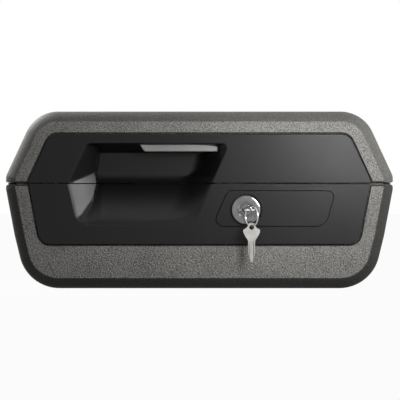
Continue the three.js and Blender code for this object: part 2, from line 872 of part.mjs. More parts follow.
function panelBlock() {
  const ring = (gap, y) => rounded(panelCorners(grooveWidth + gap)).map((point) =>
    new THREE.Vector3(point.x, y, point.y));
  const plate = solid(loft([
    ring(panelEdge, frontY), ring(0, frontY + panelEdge), ring(0, panelBackY),
  ]));
  return plate.add(recessEnvelope).subtract(recessCutter);
}

function lockPlateCorners(gap) {
  return inset([
    corner(lockPlateBottomLeft, lockPlateBottom, lockPlateLowLeftRadius),
    corner(lockPlateBottomRight, lockPlateBottom, lockPlateLowRightRadius),
    corner(lockPlateTopRight, lockPlateTop, lockPlateTopRadius),
    corner(lockPlateTopLeft, lockPlateTop, lockPlateTopRadius),
  ], gap);
}

function basePanel() {
  const half = panelBlock().intersect(below(seamHeight - panelSeamGap / 2));
  const seat = alongY(rounded(lockPlateCorners(0)), frontY - overrun, frontY + lockPlateThickness + fitGap);
  return cut(half, seat, lockBore(lockHoleGap));
}

function lidPanel() {
  const half = panelBlock().intersect(above(seamHeight + panelSeamGap / 2));
  const opening = alongZ(rounded(paddleCorners(paddleGap)), gripTop - overrun, mouthTop + overrun);
  return half.subtract(opening);
}

function lockPlate() {
  const ring = (gap, y) => rounded(lockPlateCorners(lockPlateGroove + gap)).map((point) =>
    new THREE.Vector3(point.x, y, point.y));
  const plate = solid(loft([
    ring(lockPlateGroove, frontY), ring(0, frontY + lockPlateGroove), ring(0, frontY + lockPlateThickness),
  ]));
  const sink = alongY(circle(lockX, lockZ, lockSinkRadius), frontY - overrun, frontY + lockSinkDepth);
  return cut(plate, sink, lockBore(lockHoleGap));
}

// Lock

const flangeBackY = frontY + lockSinkDepth - fitGap;
const flangeFrontY = flangeBackY - lockFlangeThickness;
const barrelEndY = flangeBackY + lockBarrelLength;
const plugFrontY = flangeFrontY - plugBossProud;
const camFrontY = barrelEndY + fitGap;
const camBackY = camFrontY + camThickness;
const strikerY = (camFrontY + camBackY) / 2;
const nutFrontY = frontWallY + fitGap;

function lockHousing() {
  const bore = plugBodyRadius + runningGap;
  return turnedAboutY([
    [bore, flangeFrontY], [lockFlangeRadius - lockFlangeEdge, flangeFrontY],
    [lockFlangeRadius - lockFlangeEdge / 4, flangeFrontY + lockFlangeEdge / 4],
    [lockFlangeRadius, flangeFrontY + lockFlangeEdge], [lockFlangeRadius, flangeBackY],
    [lockBarrelRadius, flangeBackY], [lockBarrelRadius, barrelEndY], [bore, barrelEndY],
    [bore, flangeFrontY],
  ], lockX, lockZ);
}

function lockNut() {
  const hex = circle(lockX, lockZ, nutFlats / Math.sqrt(3), 6);
  const bore = circle(lockX, lockZ, lockBarrelRadius + fitGap);
  return alongY(hex, nutFrontY, nutFrontY + nutThickness, [bore]);
}

function square(half) {
  return rounded(rectangle(lockX - half, lockX + half, lockZ - half, lockZ + half, leastRadius, 1));
}

function lockPlug() {
  const tailEndY = camBackY - fitGap;
  const body = turnedAboutY([
    [0, plugFrontY], [plugBodyRadius - plugBossEdge, plugFrontY],
    [plugBodyRadius, plugFrontY + plugBossEdge], [plugBodyRadius, barrelEndY], [0, barrelEndY],
  ], lockX, lockZ);
  const tail = alongY(square(plugTailWidth / 2), barrelEndY - plugTailLength, tailEndY);
  const keyway = box(lockX - keywayWidth / 2, lockX + keywayWidth / 2, plugFrontY - overrun,
    plugFrontY + keyTipDrop - keyShoulderDrop + fitGap, lockZ - keywayHeight / 2, lockZ + keywayHeight / 2);
  const thread = alongY(circle(lockX, lockZ, camScrewRadius + screwHoleGap, smallSides),
    camBackY - camScrewLength, camBackY);
  return cut(join(body, tail), keyway, thread);
}

function lockCam() {
  const hub = alongY(circle(lockX, lockZ, camHubRadius), camFrontY, camBackY);
  const arm = alongY(rounded(rectangle(lockX - camWidth / 2, lockX + camWidth / 2, lockZ,
    lockZ + camLength, 2 * leastRadius, smallCornerSteps)), camFrontY, camBackY);
  const hole = alongY(square(plugTailWidth / 2 + runningGap), camFrontY - overrun, camBackY + overrun);
  return hub.add(arm).subtract(hole);
}

function camScrew() {
  const headY = camBackY + fitGap;
  return turnedAboutY([
    [0, camBackY - camScrewLength + fitGap], [camScrewRadius, camBackY - camScrewLength + fitGap],
    [camScrewRadius, headY], [camScrewHeadRadius, headY], [camScrewHeadRadius, headY + camScrewHead],
    [0, headY + camScrewHead],
  ], lockX, lockZ, smallSides);
}

// Striker: a bent strip, its foot let into the lid's rim and its hook under the turned cam.

function strikerStemX() {
  return lockX + camLength + strikerClearance;
}

function strikerFootEnds() {
  return [strikerStemX(), strikerStemX() + strikerFoot];
}

function strikerScrewPlaces() {
  const first = strikerStemX() + (strikerFoot - strikerScrewSpacing) / 2 + strikerThickness / 2;
  return [first, first + strikerScrewSpacing];
}

function lockStriker() {
  const stemX = strikerStemX();
  const hookTop = lockZ - camWidth / 2 - fitGap;
  const [left, right] = strikerFootEnds();
  const point = (x, z) => new THREE.Vector2(x, z);
  const strip = alongY([
    point(stemX - strikerHook, hookTop - strikerThickness),
    point(stemX + strikerThickness, hookTop - strikerThickness),
    point(stemX + strikerThickness, lidBottom),
    point(right, lidBottom), point(right, lidBottom + strikerThickness),
    point(left, lidBottom + strikerThickness),
    point(stemX, hookTop), point(stemX - strikerHook, hookTop),
  ], strikerY - strikerWidth / 2, strikerY + strikerWidth / 2);
  const holes = strikerScrewPlaces().map((x) => alongZ(
    circle(x, strikerY, screwRadius + screwHoleGap, smallSides), lidBottom - overrun, caseHeight));
  return cut(strip, ...holes);
}

// Screws that stand along Z, head down or head up

function screwBore(x, y, top) {
  return alongZ(circle(x, y, screwRadius + screwHoleGap, smallSides), top - screwLength - fitGap,
    top + fitGap);
}

function screw(x, y, seat, side, reach = screwLength - screwHead) {
  const head = [seat, seat + side * screwHead].sort((a, b) => a - b);
  const shank = [seat, seat - side * reach].sort((a, b) => a - b);
  const body = alongZ(circle(x, y, screwHeadRadius, smallSides), ...head);
  const slot = box(x - screwHeadRadius, x + screwHeadRadius, y - leastRadius, y + leastRadius,
    ...[seat + side * screwHead / 2, seat + side * 2 * screwHead].sort((a, b) => a - b));
  return body.subtract(slot).add(alongZ(circle(x, y, screwRadius, smallSides), ...shank));
}

// Keys. In its own frame a key stands in X and Y with its bow up and its hole at the origin.

function keySolid() {
  const outline = new THREE.Shape();
  outline.moveTo(-keyTipHalfWidth, -keyTipDrop);
  outline.lineTo(keyTipHalfWidth, -keyTipDrop);
  outline.lineTo(keyBladeHalfWidth, -keyBladeEnd);
  outline.lineTo(keyBladeHalfWidth, -keyShoulderDrop);
  outline.lineTo(keyBowHalfWidth, -keyBowDrop - keyBowRound);
  outline.quadraticCurveTo(keyBowHalfWidth + keyBowRound / 2, -keyBowDrop + keyBowRound / 2,
    keyBowHalfWidth - keyBowRound, -keyBowDrop + keyBowRound);
  outline.quadraticCurveTo(keyTabHalfWidth + keyBowRound / 2, keyTabHeight / 2,
    keyTabHalfWidth, keyTabHeight);
  outline.lineTo(-keyTabHalfWidth, keyTabHeight);
  outline.quadraticCurveTo(-keyTabHalfWidth - keyBowRound / 2, keyTabHeight / 2,
    -keyBowHalfWidth + keyBowRound, -keyBowDrop + keyBowRound);
  outline.quadraticCurveTo(-keyBowHalfWidth - keyBowRound / 2, -keyBowDrop + keyBowRound / 2,
    -keyBowHalfWidth, -keyBowDrop - keyBowRound);
  outline.lineTo(-keyBladeHalfWidth, -keyShoulderDrop);
  outline.lineTo(-keyBladeHalfWidth, -keyBladeEnd);
  const half = keyThickness / 2;
  const blank = alongZ(outline.getPoints(5), -half, half, [circle(0, 0, keyHoleRadius, smallSides)]);
  const flutes = [-keyFluteOffset, keyFluteOffset].flatMap((x) => [-1, 1].map((side) =>
    box(x - keyFluteHalfWidth, x + keyFluteHalfWidth, -keyTipDrop - overrun, -keyShoulderDrop,
      ...[side * half, side * (half - keyFlute)].sort((a, b) => a - b))));
  return cut(blank, ...flutes);
}

const keyHoleY = plugFrontY - fitGap - keyShoulderDrop;
const ringReach = Math.sqrt(ringRadius ** 2 - ringDrop ** 2);
const ringCentre = new THREE.Vector3(
  lockX + ringReach * Math.sin(ringTurn), keyHoleY - ringReach * Math.cos(ringTurn), lockZ - ringDrop);

function keyRing() {
  const loop = new THREE.TorusGeometry(ringRadius, ringWireRadius, springSteps, roundSides);
  return solid(loop.rotateY(quarterTurn));
}

// Release paddle with its retaining flange, spring stubs and the post that lifts the hook's arm

const hookArmBottom = latchPinZ - hookArmThickness / 2;
const latchPostY = latchPinY - hookArm + latchPostDepth;
const strikeScrewY = (strikeFront + strikeBack) / 2;

function releasePaddle() {
  const foot = gripTop - paddleDrop;
  const shoulder = foot + paddleFaceHeight;
  const above = (rise) => (depth) => ceilingAt(depth) + rise;
  const pad = paddleBody([
    [paddleCorners(-paddleEdge, 1), () => foot],
    [paddleCorners(0, 1 - paddleEdge / paddleFaceHeight), () => foot + paddleEdge],
    [paddleCorners(0), () => shoulder],
    [paddleCorners(0), (depth) => Math.max(above(paddleTopDepth)(depth), shoulder + fitGap)],
  ]).intersect(paddleFace(foot));
  const flange = paddleBody([
    [paddleCorners(paddleFlange), above(ceilingWall + fitGap)],
    [paddleCorners(paddleFlange), above(paddleTopDepth)],
  ]);
  const post = box(latchX - latchPostWidth / 2, latchX + latchPostWidth / 2,
    latchPostY - latchPostDepth / 2, latchPostY + latchPostDepth / 2,
    gripTop + paddleTopDepth, hookArmBottom - fitGap);
  const stubs = [-springX, springX].map((x) => alongZ(
    circle(latchX + x, springY, springStubRadius, smallSides),
    springFootZ - paddleFlangeThickness / 2, springFootZ + springStub));
  return join(pad, flange, post, ...stubs);
}

// Latch hook: a bell crank seen from the side, in Y and Z

function latchHook() {
  const at = (y, z) => new THREE.Vector2(latchPinY + y, latchPinZ + z);
  const half = hookArmThickness / 2;
  const noseTop = baseTop - strikeThickness - fitGap - latchPinZ;
  const eye = steps(-quarterTurn * 0.6, quarterTurn * 1.7, smallSides / 2).map((turn) =>
    at(hookEyeRadius * Math.cos(turn), hookEyeRadius * Math.sin(turn)));
  const outline = [
    at(-hookArm, -half), at(-hookShankFront - hookEyeRadius, -half),
    at(-hookShankFront, -hookEyeRadius - half),
    at(-hookShankFront, noseTop - hookNoseHeight),
    at(hookShankBack, noseTop - hookNoseDrop),
    at(hookNoseReach, noseTop - hookNoseHeight), at(hookNoseReach, noseTop),
    at(hookShankBack, noseTop), at(hookShankBack, -hookEyeRadius),
    ...eye, at(-hookEyeRadius - hookShankFront, half), at(-hookArm, half),
  ];
  const bore = circle(latchPinY, latchPinZ, latchPinRadius + runningGap, smallSides);
  return alongX(outline, latchX - hookWidth / 2, latchX + hookWidth / 2, [bore]);
}

function cheekX() {
  return hookWidth / 2 + cheekGap;
}

function latchPin() {
  const reach = cheekX() + bracketThickness + fitGap;
  const shaft = alongX(circle(latchPinY, latchPinZ, latchPinRadius, smallSides),
    latchX - reach, latchX + reach);
  const head = alongX(circle(latchPinY, latchPinZ, hookEyeRadius * 0.75, smallSides),
    latchX - reach - bracketThickness, latchX - reach);
  return shaft.add(head);
}

function latchBracket() {
  const plate = box(latchX - bracketLeft, latchX + bracketRight, bracketFront, bracketBack,
    bracketHeight, bracketHeight + bracketThickness);
  const cheeks = [-1, 1].map((side) => {
    const ends = [side * cheekX(), side * (cheekX() + bracketThickness)].sort((a, b) => a - b);
    return box(latchX + ends[0], latchX + ends[1], latchPinY - cheekHalfDepth, latchPinY + cheekHalfDepth,
      bracketHeight - cheekDrop, bracketHeight + bracketThickness / 2);
  });
  const bore = alongX(circle(latchPinY, latchPinZ, latchPinRadius + runningGap, smallSides),
    -caseWidth, caseWidth);
  const holes = [-bossX, bossX].map((x) => alongZ(
    circle(latchX + x, bossY, screwRadius + screwHoleGap, smallSides), 0, caseHeight));
  return cut(join(plate, ...cheeks), bore, ...holes);
}

// Paddle spring: one unbroken helix between the paddle's flange and the bracket

const springLength = bracketHeight - springFootZ - 4 * fitGap - 2 * springWireRadius;

class Helix extends THREE.Curve {
  getPoint(t, target = new THREE.Vector3()) {
    const turn = t * springTurns * 2 * Math.PI;
    return target.set(springRadius * Math.cos(turn), springRadius * Math.sin(turn), t * springLength);
  }
}

function paddleSpring(x) {
  const section = new THREE.Shape(circle(0, 0, springWireRadius, springSides));
  const geometry = new THREE.ExtrudeGeometry(section, {
    extrudePath: new Helix(), steps: springTurns * springSteps, bevelEnabled: false,
  });
  return solid(geometry.translate(latchX + x, springY, springFootZ + 2 * fitGap + springWireRadius));
}

// Least distance between neighbouring curls, measured on points of the helix.
function leastCurlGap() {
  const helix = new Helix();
  const points = helix.getPoints(springTurns * springSteps);
  const gaps = points.slice(springSteps).map((point, i) => point.distanceTo(points[i]));
  return Math.min(...gaps) - 2 * springWireRadius;
}

// Strike plate that the hook catches under

function strikePlate() {
  const plate = box(latchX - strikeHalfWidth, latchX + strikeHalfWidth, strikeFront, strikeBack,
    baseTop - strikeThickness, baseTop);
  const opening = box(latchX - windowHalfWidth, latchX + windowHalfWidth, windowFront, windowBack,
    0, caseHeight);
  const holes = [-strikeScrewX, strikeScrewX].map((x) => alongZ(
    circle(latchX + x, strikeScrewY, screwRadius + screwHoleGap, smallSides), 0, caseHeight));
  return cut(plate, opening, ...holes);
}

function rimSeal() {
  const shoulder = baseTop + sealShoulder;
  const [outer, inner] = sealOutline(sealWidth);
  const [lipOuter, lipInner] = sealOutline(sealLipWidth);
  const foot = alongZ(outer, baseTop - sealGrooveDepth + fitGap, shoulder, [inner]);
  const lip = alongZ(lipOuter, shoulder - sealShoulder, lidBottom - fitGap, [lipInner]);
  return foot.add(lip);
}

// Materials

function finish(color, roughness, metalness = 0) {
  return new THREE.MeshStandardMaterial({ color, roughness, metalness });
}

const finishes = {
  pebble: () => finish(0x6f6d69, 0.75),
  satinBlack: () => finish(0x202021, 0.45),
  liner: () => finish(0x2c2c2d, 0.6),
  fill: () => finish(0xb9b2a4, 0.95),
  rubber: () => finish(0x141414, 0.85),
  paddle: () => finish(0x8d8e8b, 0.5),
  chrome: () => finish(0xc8c9cb, 0.18, 1),
  nickel: () => finish(0xbdbab2, 0.35, 1),
  zinc: () => finish(0x9a9da0, 0.4, 1),
};

const chest = new THREE.Group();

function add(name, body, look, parent = chest) {
  const mesh = new THREE.Mesh(geometryOf(body), finishes[look]());
  mesh.name = name;
  parent.add(mesh);
  return mesh;
}

// Base
add('base_shell', baseShell(), 'pebble');
add('base_fill', baseFill(), 'fill');
add('base_liner', baseLiner(), 'liner');
add('base_front_panel', basePanel(), 'satinBlack');
add('lock_plate', lockPlate(), 'satinBlack');
add('rim_seal', rimSeal(), 'rubber');
add('base_fill_plug', fillPlug(basePlugY, fitGap, 1), 'satinBlack');
add('strike_plate', strikePlate(), 'zinc');
add('strike_screw_left', screw(latchX - strikeScrewX, strikeScrewY, baseTop, 1), 'zinc');
add('strike_screw_right', screw(latchX + strikeScrewX, strikeScrewY, baseTop, 1), 'zinc');
add('hinge_pin_left', hingePin(-hingeSpread), 'zinc');
add('hinge_pin_right', hingePin(hingeSpread), 'zinc');

// Lock
add('lock_housing', lockHousing(), 'chrome');
add('lock_nut', lockNut(), 'zinc');
add('lock_plug', lockPlug(), 'chrome');
add('lock_cam', lockCam(), 'zinc');
add('cam_screw', camScrew(), 'zinc');

// Keys
const lockKey = add('lock_key', keySolid(), 'nickel');
lockKey.position.set(lockX, keyHoleY, lockZ);
lockKey.rotation.x = Math.PI;
const ring = add('key_ring', keyRing(), 'chrome');
ring.position.copy(ringCentre);
ring.rotation.z = ringTurn;
const spareKey = add('spare_key', keySolid(), 'nickel');
spareKey.position.set(ringCentre.x, ringCentre.y, ringCentre.z - ringRadius - spareKeyDrop);
spareKey.rotation.x = quarterTurn;

// Lid
add('lid_shell', lidShell(), 'pebble');
add('lid_fill', lidFill(), 'fill');
add('lid_liner', lidLiner(), 'liner');
add('lid_front_panel', lidPanel(), 'satinBlack');
add('lid_fill_plug', fillPlug(lidPlugY, storageCeiling - plugHead - fitGap, 1), 'satinBlack');
add('lock_striker', lockStriker(), 'zinc');
strikerScrewPlaces().forEach((x, i) => {
  add(`striker_screw_${['left', 'right'][i]}`, screw(x, strikerY, lidBottom, -1), 'zinc');
});

// Latch
add('release_paddle', releasePaddle(), 'paddle');
add('latch_hook', latchHook(), 'zinc');
add('latch_pin', latchPin(), 'zinc');
add('latch_bracket', latchBracket(), 'zinc');
const bracketScrewReach = bracketScrewShare * (caseHeight - shellWall - bracketHeight);
[['left', -bossX], ['right', bossX]].forEach(([side, x]) => {
  const body = screw(latchX + x, bossY, bracketHeight - fitGap, -1, bracketScrewReach);
  add(`bracket_screw_${side}`, body, 'zinc');
});
add('paddle_spring_left', paddleSpring(-springX), 'zinc');
add('paddle_spring_right', paddleSpring(springX), 'zinc');

console.log(`Least gap between spring curls: ${leastCurlGap().toFixed(2)} mm`);

export default chest;
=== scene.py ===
import math

import bmesh
import bpy
import numpy as np
from mathutils import Matrix, Vector


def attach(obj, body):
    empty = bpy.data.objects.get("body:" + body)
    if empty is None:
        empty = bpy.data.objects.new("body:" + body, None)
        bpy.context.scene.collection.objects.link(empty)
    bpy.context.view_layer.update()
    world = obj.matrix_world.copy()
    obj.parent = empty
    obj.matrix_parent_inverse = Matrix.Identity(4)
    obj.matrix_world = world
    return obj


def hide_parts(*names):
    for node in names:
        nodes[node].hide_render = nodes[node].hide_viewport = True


MM = 0.001

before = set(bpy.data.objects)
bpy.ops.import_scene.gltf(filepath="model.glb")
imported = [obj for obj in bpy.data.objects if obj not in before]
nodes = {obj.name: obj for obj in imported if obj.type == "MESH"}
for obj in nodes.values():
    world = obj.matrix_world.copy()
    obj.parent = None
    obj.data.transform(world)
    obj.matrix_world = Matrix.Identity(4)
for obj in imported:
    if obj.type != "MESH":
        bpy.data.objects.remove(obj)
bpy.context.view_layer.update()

# Camera: level with the middle of the case, straight in front of it
PHOTO_PIXELS = 400
METRES_PER_PIXEL = 0.9298 * MM
PHOTO_CENTRE_X = 0.6 * METRES_PER_PIXEL
PHOTO_CENTRE_Z = 88.8 * METRES_PER_PIXEL
CAMERA_DISTANCE = 1.5
SENSOR = 36.0

# Cutters, in millimetres like the sizes below: how far they overrun a face and widen ahead of it
OVERRUN = 2.0
FLARE = 0.5

# Meshes: least distance between points, first and at the end, and least corner radius
WELD = 0.001
LAST_WELD = 0.004
LEAST_ROUND = 0.3

# Signs of a rectangle's corners, anticlockwise
QUARTERS = ((-1, -1), (1, -1), (1, 1), (-1, 1))

# Case
HALF_WIDTH = 181.0
FRONT = -165.0
BACK = 165.0
SEAM = 98.0
TOP = 165.4
BOTTOM_HALF = 162.0
BOTTOM_ROUND = 32.0
TOP_HALF = 153.0
TOP_ROUND = 33.0
BAND_TOP = 105.0
BAND_ROUND = 10.0
SEAM_ROUND = 3.0
BASE_FOOT_HALF = 160.8
BASE_FOOT_ROUND = 38.0
BASE_SIDE_HALF = 172.9
BASE_SIDE_Z = 49.5
BASE_SIDE_ROUND = 60.0
BASE_SHOULDER = 92.5
BASE_TOP = 97.0
BASE_RIM = 2.4
LID_BOTTOM = 99.0
LID_RIM = 1.5
RIM_DEPTHS = (0.0, 0.15, 0.45, 0.9, 1.5)
SHELL_WALL = 3.0
EDGE_WIDTH = 10.2
EDGE_DEPTH = 10.0
CREASE = math.radians(38)
FRONT_WALL = -157.7
TONGUE_INSET = 1.4
TONGUE_AHEAD = 1.6
TONGUE_FOOT = 94.0
TONGUE_TOP = 98.7

# Front panel
PANEL_INSET = 20.6
PANEL_FOOT = 40.4
PANEL_BACK = -161.0
PANEL_CORNER = 12.0
PANEL_GAP = 0.8
PANEL_ROUND = 0.9
PANEL_BASE_TOP = 97.5
PANEL_LID_BOTTOM = 98.5
PANEL_SEAM_ROUND = 0.45
PRISM_END = FRONT + 50.0
POCKET_FLOOR = -160.7
POCKET_LIP = 1.1

# Panel's grid, fine round the hand recess
FINE_LEFT = -132.0
FINE_RIGHT = 34.0
FINE_FOOT = 44.0
FINE_TOP = 140.0
FINE_STEP = 0.62
LID_FINE_STEP = 0.5
FINE_MARGIN = 1.0

# Mouth of the hand recess
MOUTH_TOP = 135.4
MOUTH_BOTTOM = 58.7
MOUTH_TOP_LEFT = -104.6
MOUTH_TOP_RIGHT = 27.9
MOUTH_SEAM_LEFT = -122.4
MOUTH_BOTTOM_LEFT = -113.0
MOUTH_BOTTOM_RIGHT = -5.9
MOUTH_TOP_LEFT_ROUND = 4.0
MOUTH_TOP_RIGHT_ROUND = 8.0
MOUTH_BOTTOM_LEFT_ROUND = 11.0
MOUTH_BOTTOM_RIGHT_ROUND = 10.0
MOUTH_STEEPNESS = 4.5
MOUTH_WALL = 4.6
MOUTH_LIP = 1.8
MOUTH_MARGIN = 3.0
MOUTH_CUT_END = -120.0
MOUTH_CUT = [
    (MOUTH_BOTTOM_LEFT, MOUTH_BOTTOM, 8.0, 4), (MOUTH_BOTTOM_RIGHT, MOUTH_BOTTOM, 8.0, 4),
    (MOUTH_TOP_RIGHT, MOUTH_TOP, 5.0, 4), (MOUTH_TOP_LEFT, MOUTH_TOP, 5.0, 4),
    (MOUTH_SEAM_LEFT, SEAM, 1.0, 2),
]

# Shares of a level distance that are square to the mouth's slanting edges
UPPER_LEFT_SHARE = 0.89
LOWER_LEFT_SHARE = 0.97
RIGHT_SHARE = 0.91

# Inside of the hand recess
GRIP_DEPTH = 33.0
GRIP_TOP = 128.2
GRIP_BOTTOM = 104.0
GRIP_LEFT = -97.0
GRIP_TOP_RIGHT = 2.0
GRIP_BOTTOM_RIGHT = -6.0
GRIP_ROUND = 7.0
RAMP_TOP_RIGHT = -13.0
RAMP_BOTTOM_RIGHT = -16.0
RAMP_LEAD_IN = 6.0
RAMP_LEAD_IN_X = -92.0
KNEE_Z = 109.0
KNEE_LEFT = -98.6
FACET_SEAM_LEFT = -96.8
FACET_FOOT_Z = 61.7
FACET_FOOT_LEFT = -104.8
FACET_LEAD_IN = 1.5
FACET_LEAD_IN_X = -112.0
FACET_SLOPE = 0.87
FACET_STEP = 5.0
FACET_CORNER = 11.5
FACET_CLIMB = 1.12
LEAST_DEPTH = 1.2
RECESS_WALL = 2.0

# Slopes by which its wall is measured: ramp, ceiling, the left side's upper and lower facet, right side
CEILING_SLOPE = GRIP_DEPTH / (MOUTH_TOP - GRIP_TOP)
WALL_SLOPES = (0.86, CEILING_SLOPE, 2.2, 1.25, 1.5)

# Reaches over which the recess's surfaces run into each other
RAMP_BLEND = 4.0
KNEE_BLEND = 1.5
LEFT_FOOT_BLEND = 4.0
LEFT_SEAM_BLEND = 2.5
RIGHT_BLEND = 7.0
CEILING_BLEND = 6.0
MOUTH_BLEND = 1.5

# Lip that closes the seam behind the recess
LIP_LEFT = -62.0
LIP_RIGHT = 6.0
LIP_FOOT = 96.0
LIP_TOP = 98.42
LIP_SUNK = 1.4

# Hinges
HINGE_X = 95.0
HINGE_Y = 172.0
HINGE_BORE = 2.6
KNUCKLE_RADIUS = 6.0
BASE_KNUCKLE = 14.0
BASE_KNUCKLE_OFFSET = 19.6
LID_KNUCKLE = 24.0
ARM_FRONT = 163.5
ARM_REACH = 20.0

# Stepped hole of the fill plug under the base
FILL_PLACE = (0.0, 40.0)
FILL_HOLE_RADIUS = 13.0
FILL_HEAD_RADIUS = 16.0
FILL_HEAD_DEPTH = 1.5

# Well for the paddle and bosses for the latch bracket, in the lid
WELL_LOW = (-62.6, PANEL_BACK, GRIP_TOP)
WELL_HIGH = (23.6, -152.7, 143.4)
BOSS_PLACES = ((-55.5, -126.0), (16.5, -126.0))
BOSS_RADIUS = 5.0
BOSS_FOOT = 153.9
BOSS_TOP = 163.9
BOSS_BORE = 1.8
BOSS_BORE_TOP = 162.4

# Release paddle, its corners with X, depth and how far each moves right and back as it leans
PADDLE_CORNERS = [
    (-56.0, 6.5, 4.1, 2.0), (17.0, 6.5, 0.0, 2.0), (17.0, 10.5, 0.0, 0.0),
    (3.5, 27.0, 0.0, 0.0), (-52.0, 27.0, 2.05, 0.0),
]
PADDLE_ROUND = 1.5
PADDLE_GAP = 0.5
OPENING_REACH = 5.0
PADDLE_FOOT = GRIP_TOP - 0.2
PADDLE_HEIGHT = 6.0
PADDLE_EDGE = 0.9
PADDLE_END = 17.4
PADDLE_END_ROUND = 5.4
NECK_RIGHT = 12.0
NECK_LEAST = 0.3
FLANGE_MARGIN = 1.6
FLANGE_GAP = 0.3
FLANGE_THICK = 1.5
LID_LIP_WALL = 2.5
POST_LOW = (-23.5, -150.25)
POST_HIGH = (-15.5, -147.75, 139.2)
STUB_PLACES = ((-43.5, -146.0), (4.5, -146.0))
STUB_RADIUS = 2.2
STUB_FOOT = 135.35
STUB_TOP = 139.1

# Lock plate and its seat in the panel
PLATE_FOOT = 57.6
PLATE_TOP = 91.5
LOCK_PLATE = [
    (11.1, PLATE_FOOT, 7.5, 10), (117.6, PLATE_FOOT, 12.0, 10),
    (127.1, PLATE_TOP, 6.0, 10), (26.2, PLATE_TOP, 6.0, 10),
]
PLATE_GAP = 0.5
PLATE_EDGE = 0.5
PLATE_THICK = 2.2
SEAT_DEPTH = 2.5
SEAT_LIP = 0.15
SEAT_LIP_DEPTH = 0.35
SINK_RADIUS = 14.9
SINK_DEPTH = 1.6
SINK_LIP = 0.35
GROOVE_INNER = 12.4
GROOVE_START = 1.0
GROOVE_DEPTH = 2.1

# Lock
LOCK_X = 43.4
LOCK_Z = 73.4
LOCK_FRONT = -168.0
LOCK_SEAT = -163.7
LOCK_RADIUS = 13.2
FLANGE_ROLL = 0.8
FLANGE_ROLL_DEPTH = 1.0
BARREL_RADIUS = 9.5
BARREL_END = -146.7
BARREL_HOLE = 9.9
BARREL_HOLE_END = -150.0
THREAD_START = LOCK_SEAT + 4.0
THREAD_END = BARREL_END - 1.6
THREAD_PITCH = 1.25
THREAD_DEPTH = 0.55
PLUG_RADIUS = 5.5
PLUG_HOLE = PLUG_RADIUS + 0.12
PLUG_FRONT = -169.6
PLUG_ROUND = 0.9
PLUG_TAIL_HALF = 2.5
PLUG_TAIL_LENGTH = 4.0
PLUG_TAIL_END = -144.7
PLUG_SCREW_HOLE = 1.6
PLUG_SCREW_DEPTH = 3.6

# Lock's turned outlines: radius, and depth behind the face or back that each is named after
HOUSING_FACE = [
    (PLUG_HOLE, 0.75), (5.85, 0.5), (7.0, 0.5), (7.25, 0.1), (7.6, 0.0), (11.7, 0.0), (12.0, 0.12),
]
FLANGE_BACK = [(LOCK_RADIUS, -0.5), (LOCK_RADIUS - 0.4, 0.0), (BARREL_RADIUS - 0.35, 0.0)]
BARREL_BACK = [(BARREL_RADIUS - 0.5, -0.5), (BARREL_RADIUS - 1.0, 0.0), (PLUG_HOLE, 0.0)]
PLUG_FACE = [(0.0, 0.15), (4.2, 0.0)]

# Keyway: depth behind the plug's face, half width, half height and corner radius
KEYWAY = [(-3.0, 4.1, 1.65, 0.6), (0.5, 3.75, 1.3, 0.4), (20.9, 3.75, 1.3, 0.4)]

# Key, from the middle of its hole: half width and Y up its right side, the bow uppermost
KEY_BLADE = [(0.55, -32.3), (0.95, -31.7), (2.55, -26.0), (3.0, -23.2), (3.3, -12.4), (3.6, -11.4)]
KEY_NECK = (3.95, -10.9)
KEY_SHOULDER = (7.6, -4.6)
KEY_NECK_SAG = 0.5
KEY_EAR = (6.05, -3.25)
KEY_EAR_ROUND = 1.75
KEY_CROWN = [(5.2, -0.9), (4.1, 0.3), (3.4, 1.6), (2.95, 3.0), (2.3, 3.7), (1.2, 3.9)]
KEY_HALF_THICK = 0.9
KEY_HOLE_RADIUS = 2.25
KEY_HOLE = (LOCK_X, -181.6, LOCK_Z)
KEY_SOFTNESS = 0.16

# Flutes of the key's blade: their floor and mouth by height over its middle and half width
FLUTE_X = 1.75
FLUTE_START = -40.0
FLUTE_ENDS = (-13.4, -11.9)
FLUTE_FLOOR = (0.34, 0.08)
FLUTE_MOUTH = (2.0, 0.85)

# Split ring and the spare key on it
RING_CENTRE = (47.80, -187.89, 67.8)
SPARE_HOLE = (*RING_CENTRE[:2], 57.5)
RING_TURN = math.radians(35)
RING_RADIUS = 9.5
RING_PITCH = 0.86
RING_WIRE = 0.43
RING_END_SHARE = 0.55
RING_STEPS = 72
RING_OVERLAP = 10
RING_START = -2.3
RING_CHANGE = 9

# Floor, in metres
FLOOR_HALF = 8.0
FLOOR_DROP = 0.02 * MM


# Outlines in X and Z (or X and Y), whose corners are (x, z, radius, steps)


def mirrored(right):
    """A whole outline from the corners of its right half, from the foot up."""
    left = [(-x, *rest) for x, *rest in right[::-1]]
    return [left[-1], *right, *left[:-1]]


def moved(corners, amounts):
    """A convex anticlockwise outline with edge i (corner i to the next) moved inward by amounts[i]."""
    places = [Vector(corner[:2]) for corner in corners]
    edges = []
    for i, start in enumerate(places):
        along = (places[(i + 1) % len(places)] - start).normalized()
        normal = Vector((-along.y, along.x))
        edges.append((normal, normal.dot(start) + amounts[i]))
    result = []
    for i, (_, _, radius, steps) in enumerate(corners):
        (a, p), (b, q) = edges[i - 1], edges[i]
        det = a.x * b.y - a.y * b.x
        x = (p * b.y - q * a.y) / det
        z = (a.x * q - b.x * p) / det
        result.append((x, z, max(radius - max(amounts[i - 1], amounts[i]), LEAST_ROUND), steps))
    return result


def inset(corners, amount):
    return moved(corners, [amount] * len(corners))


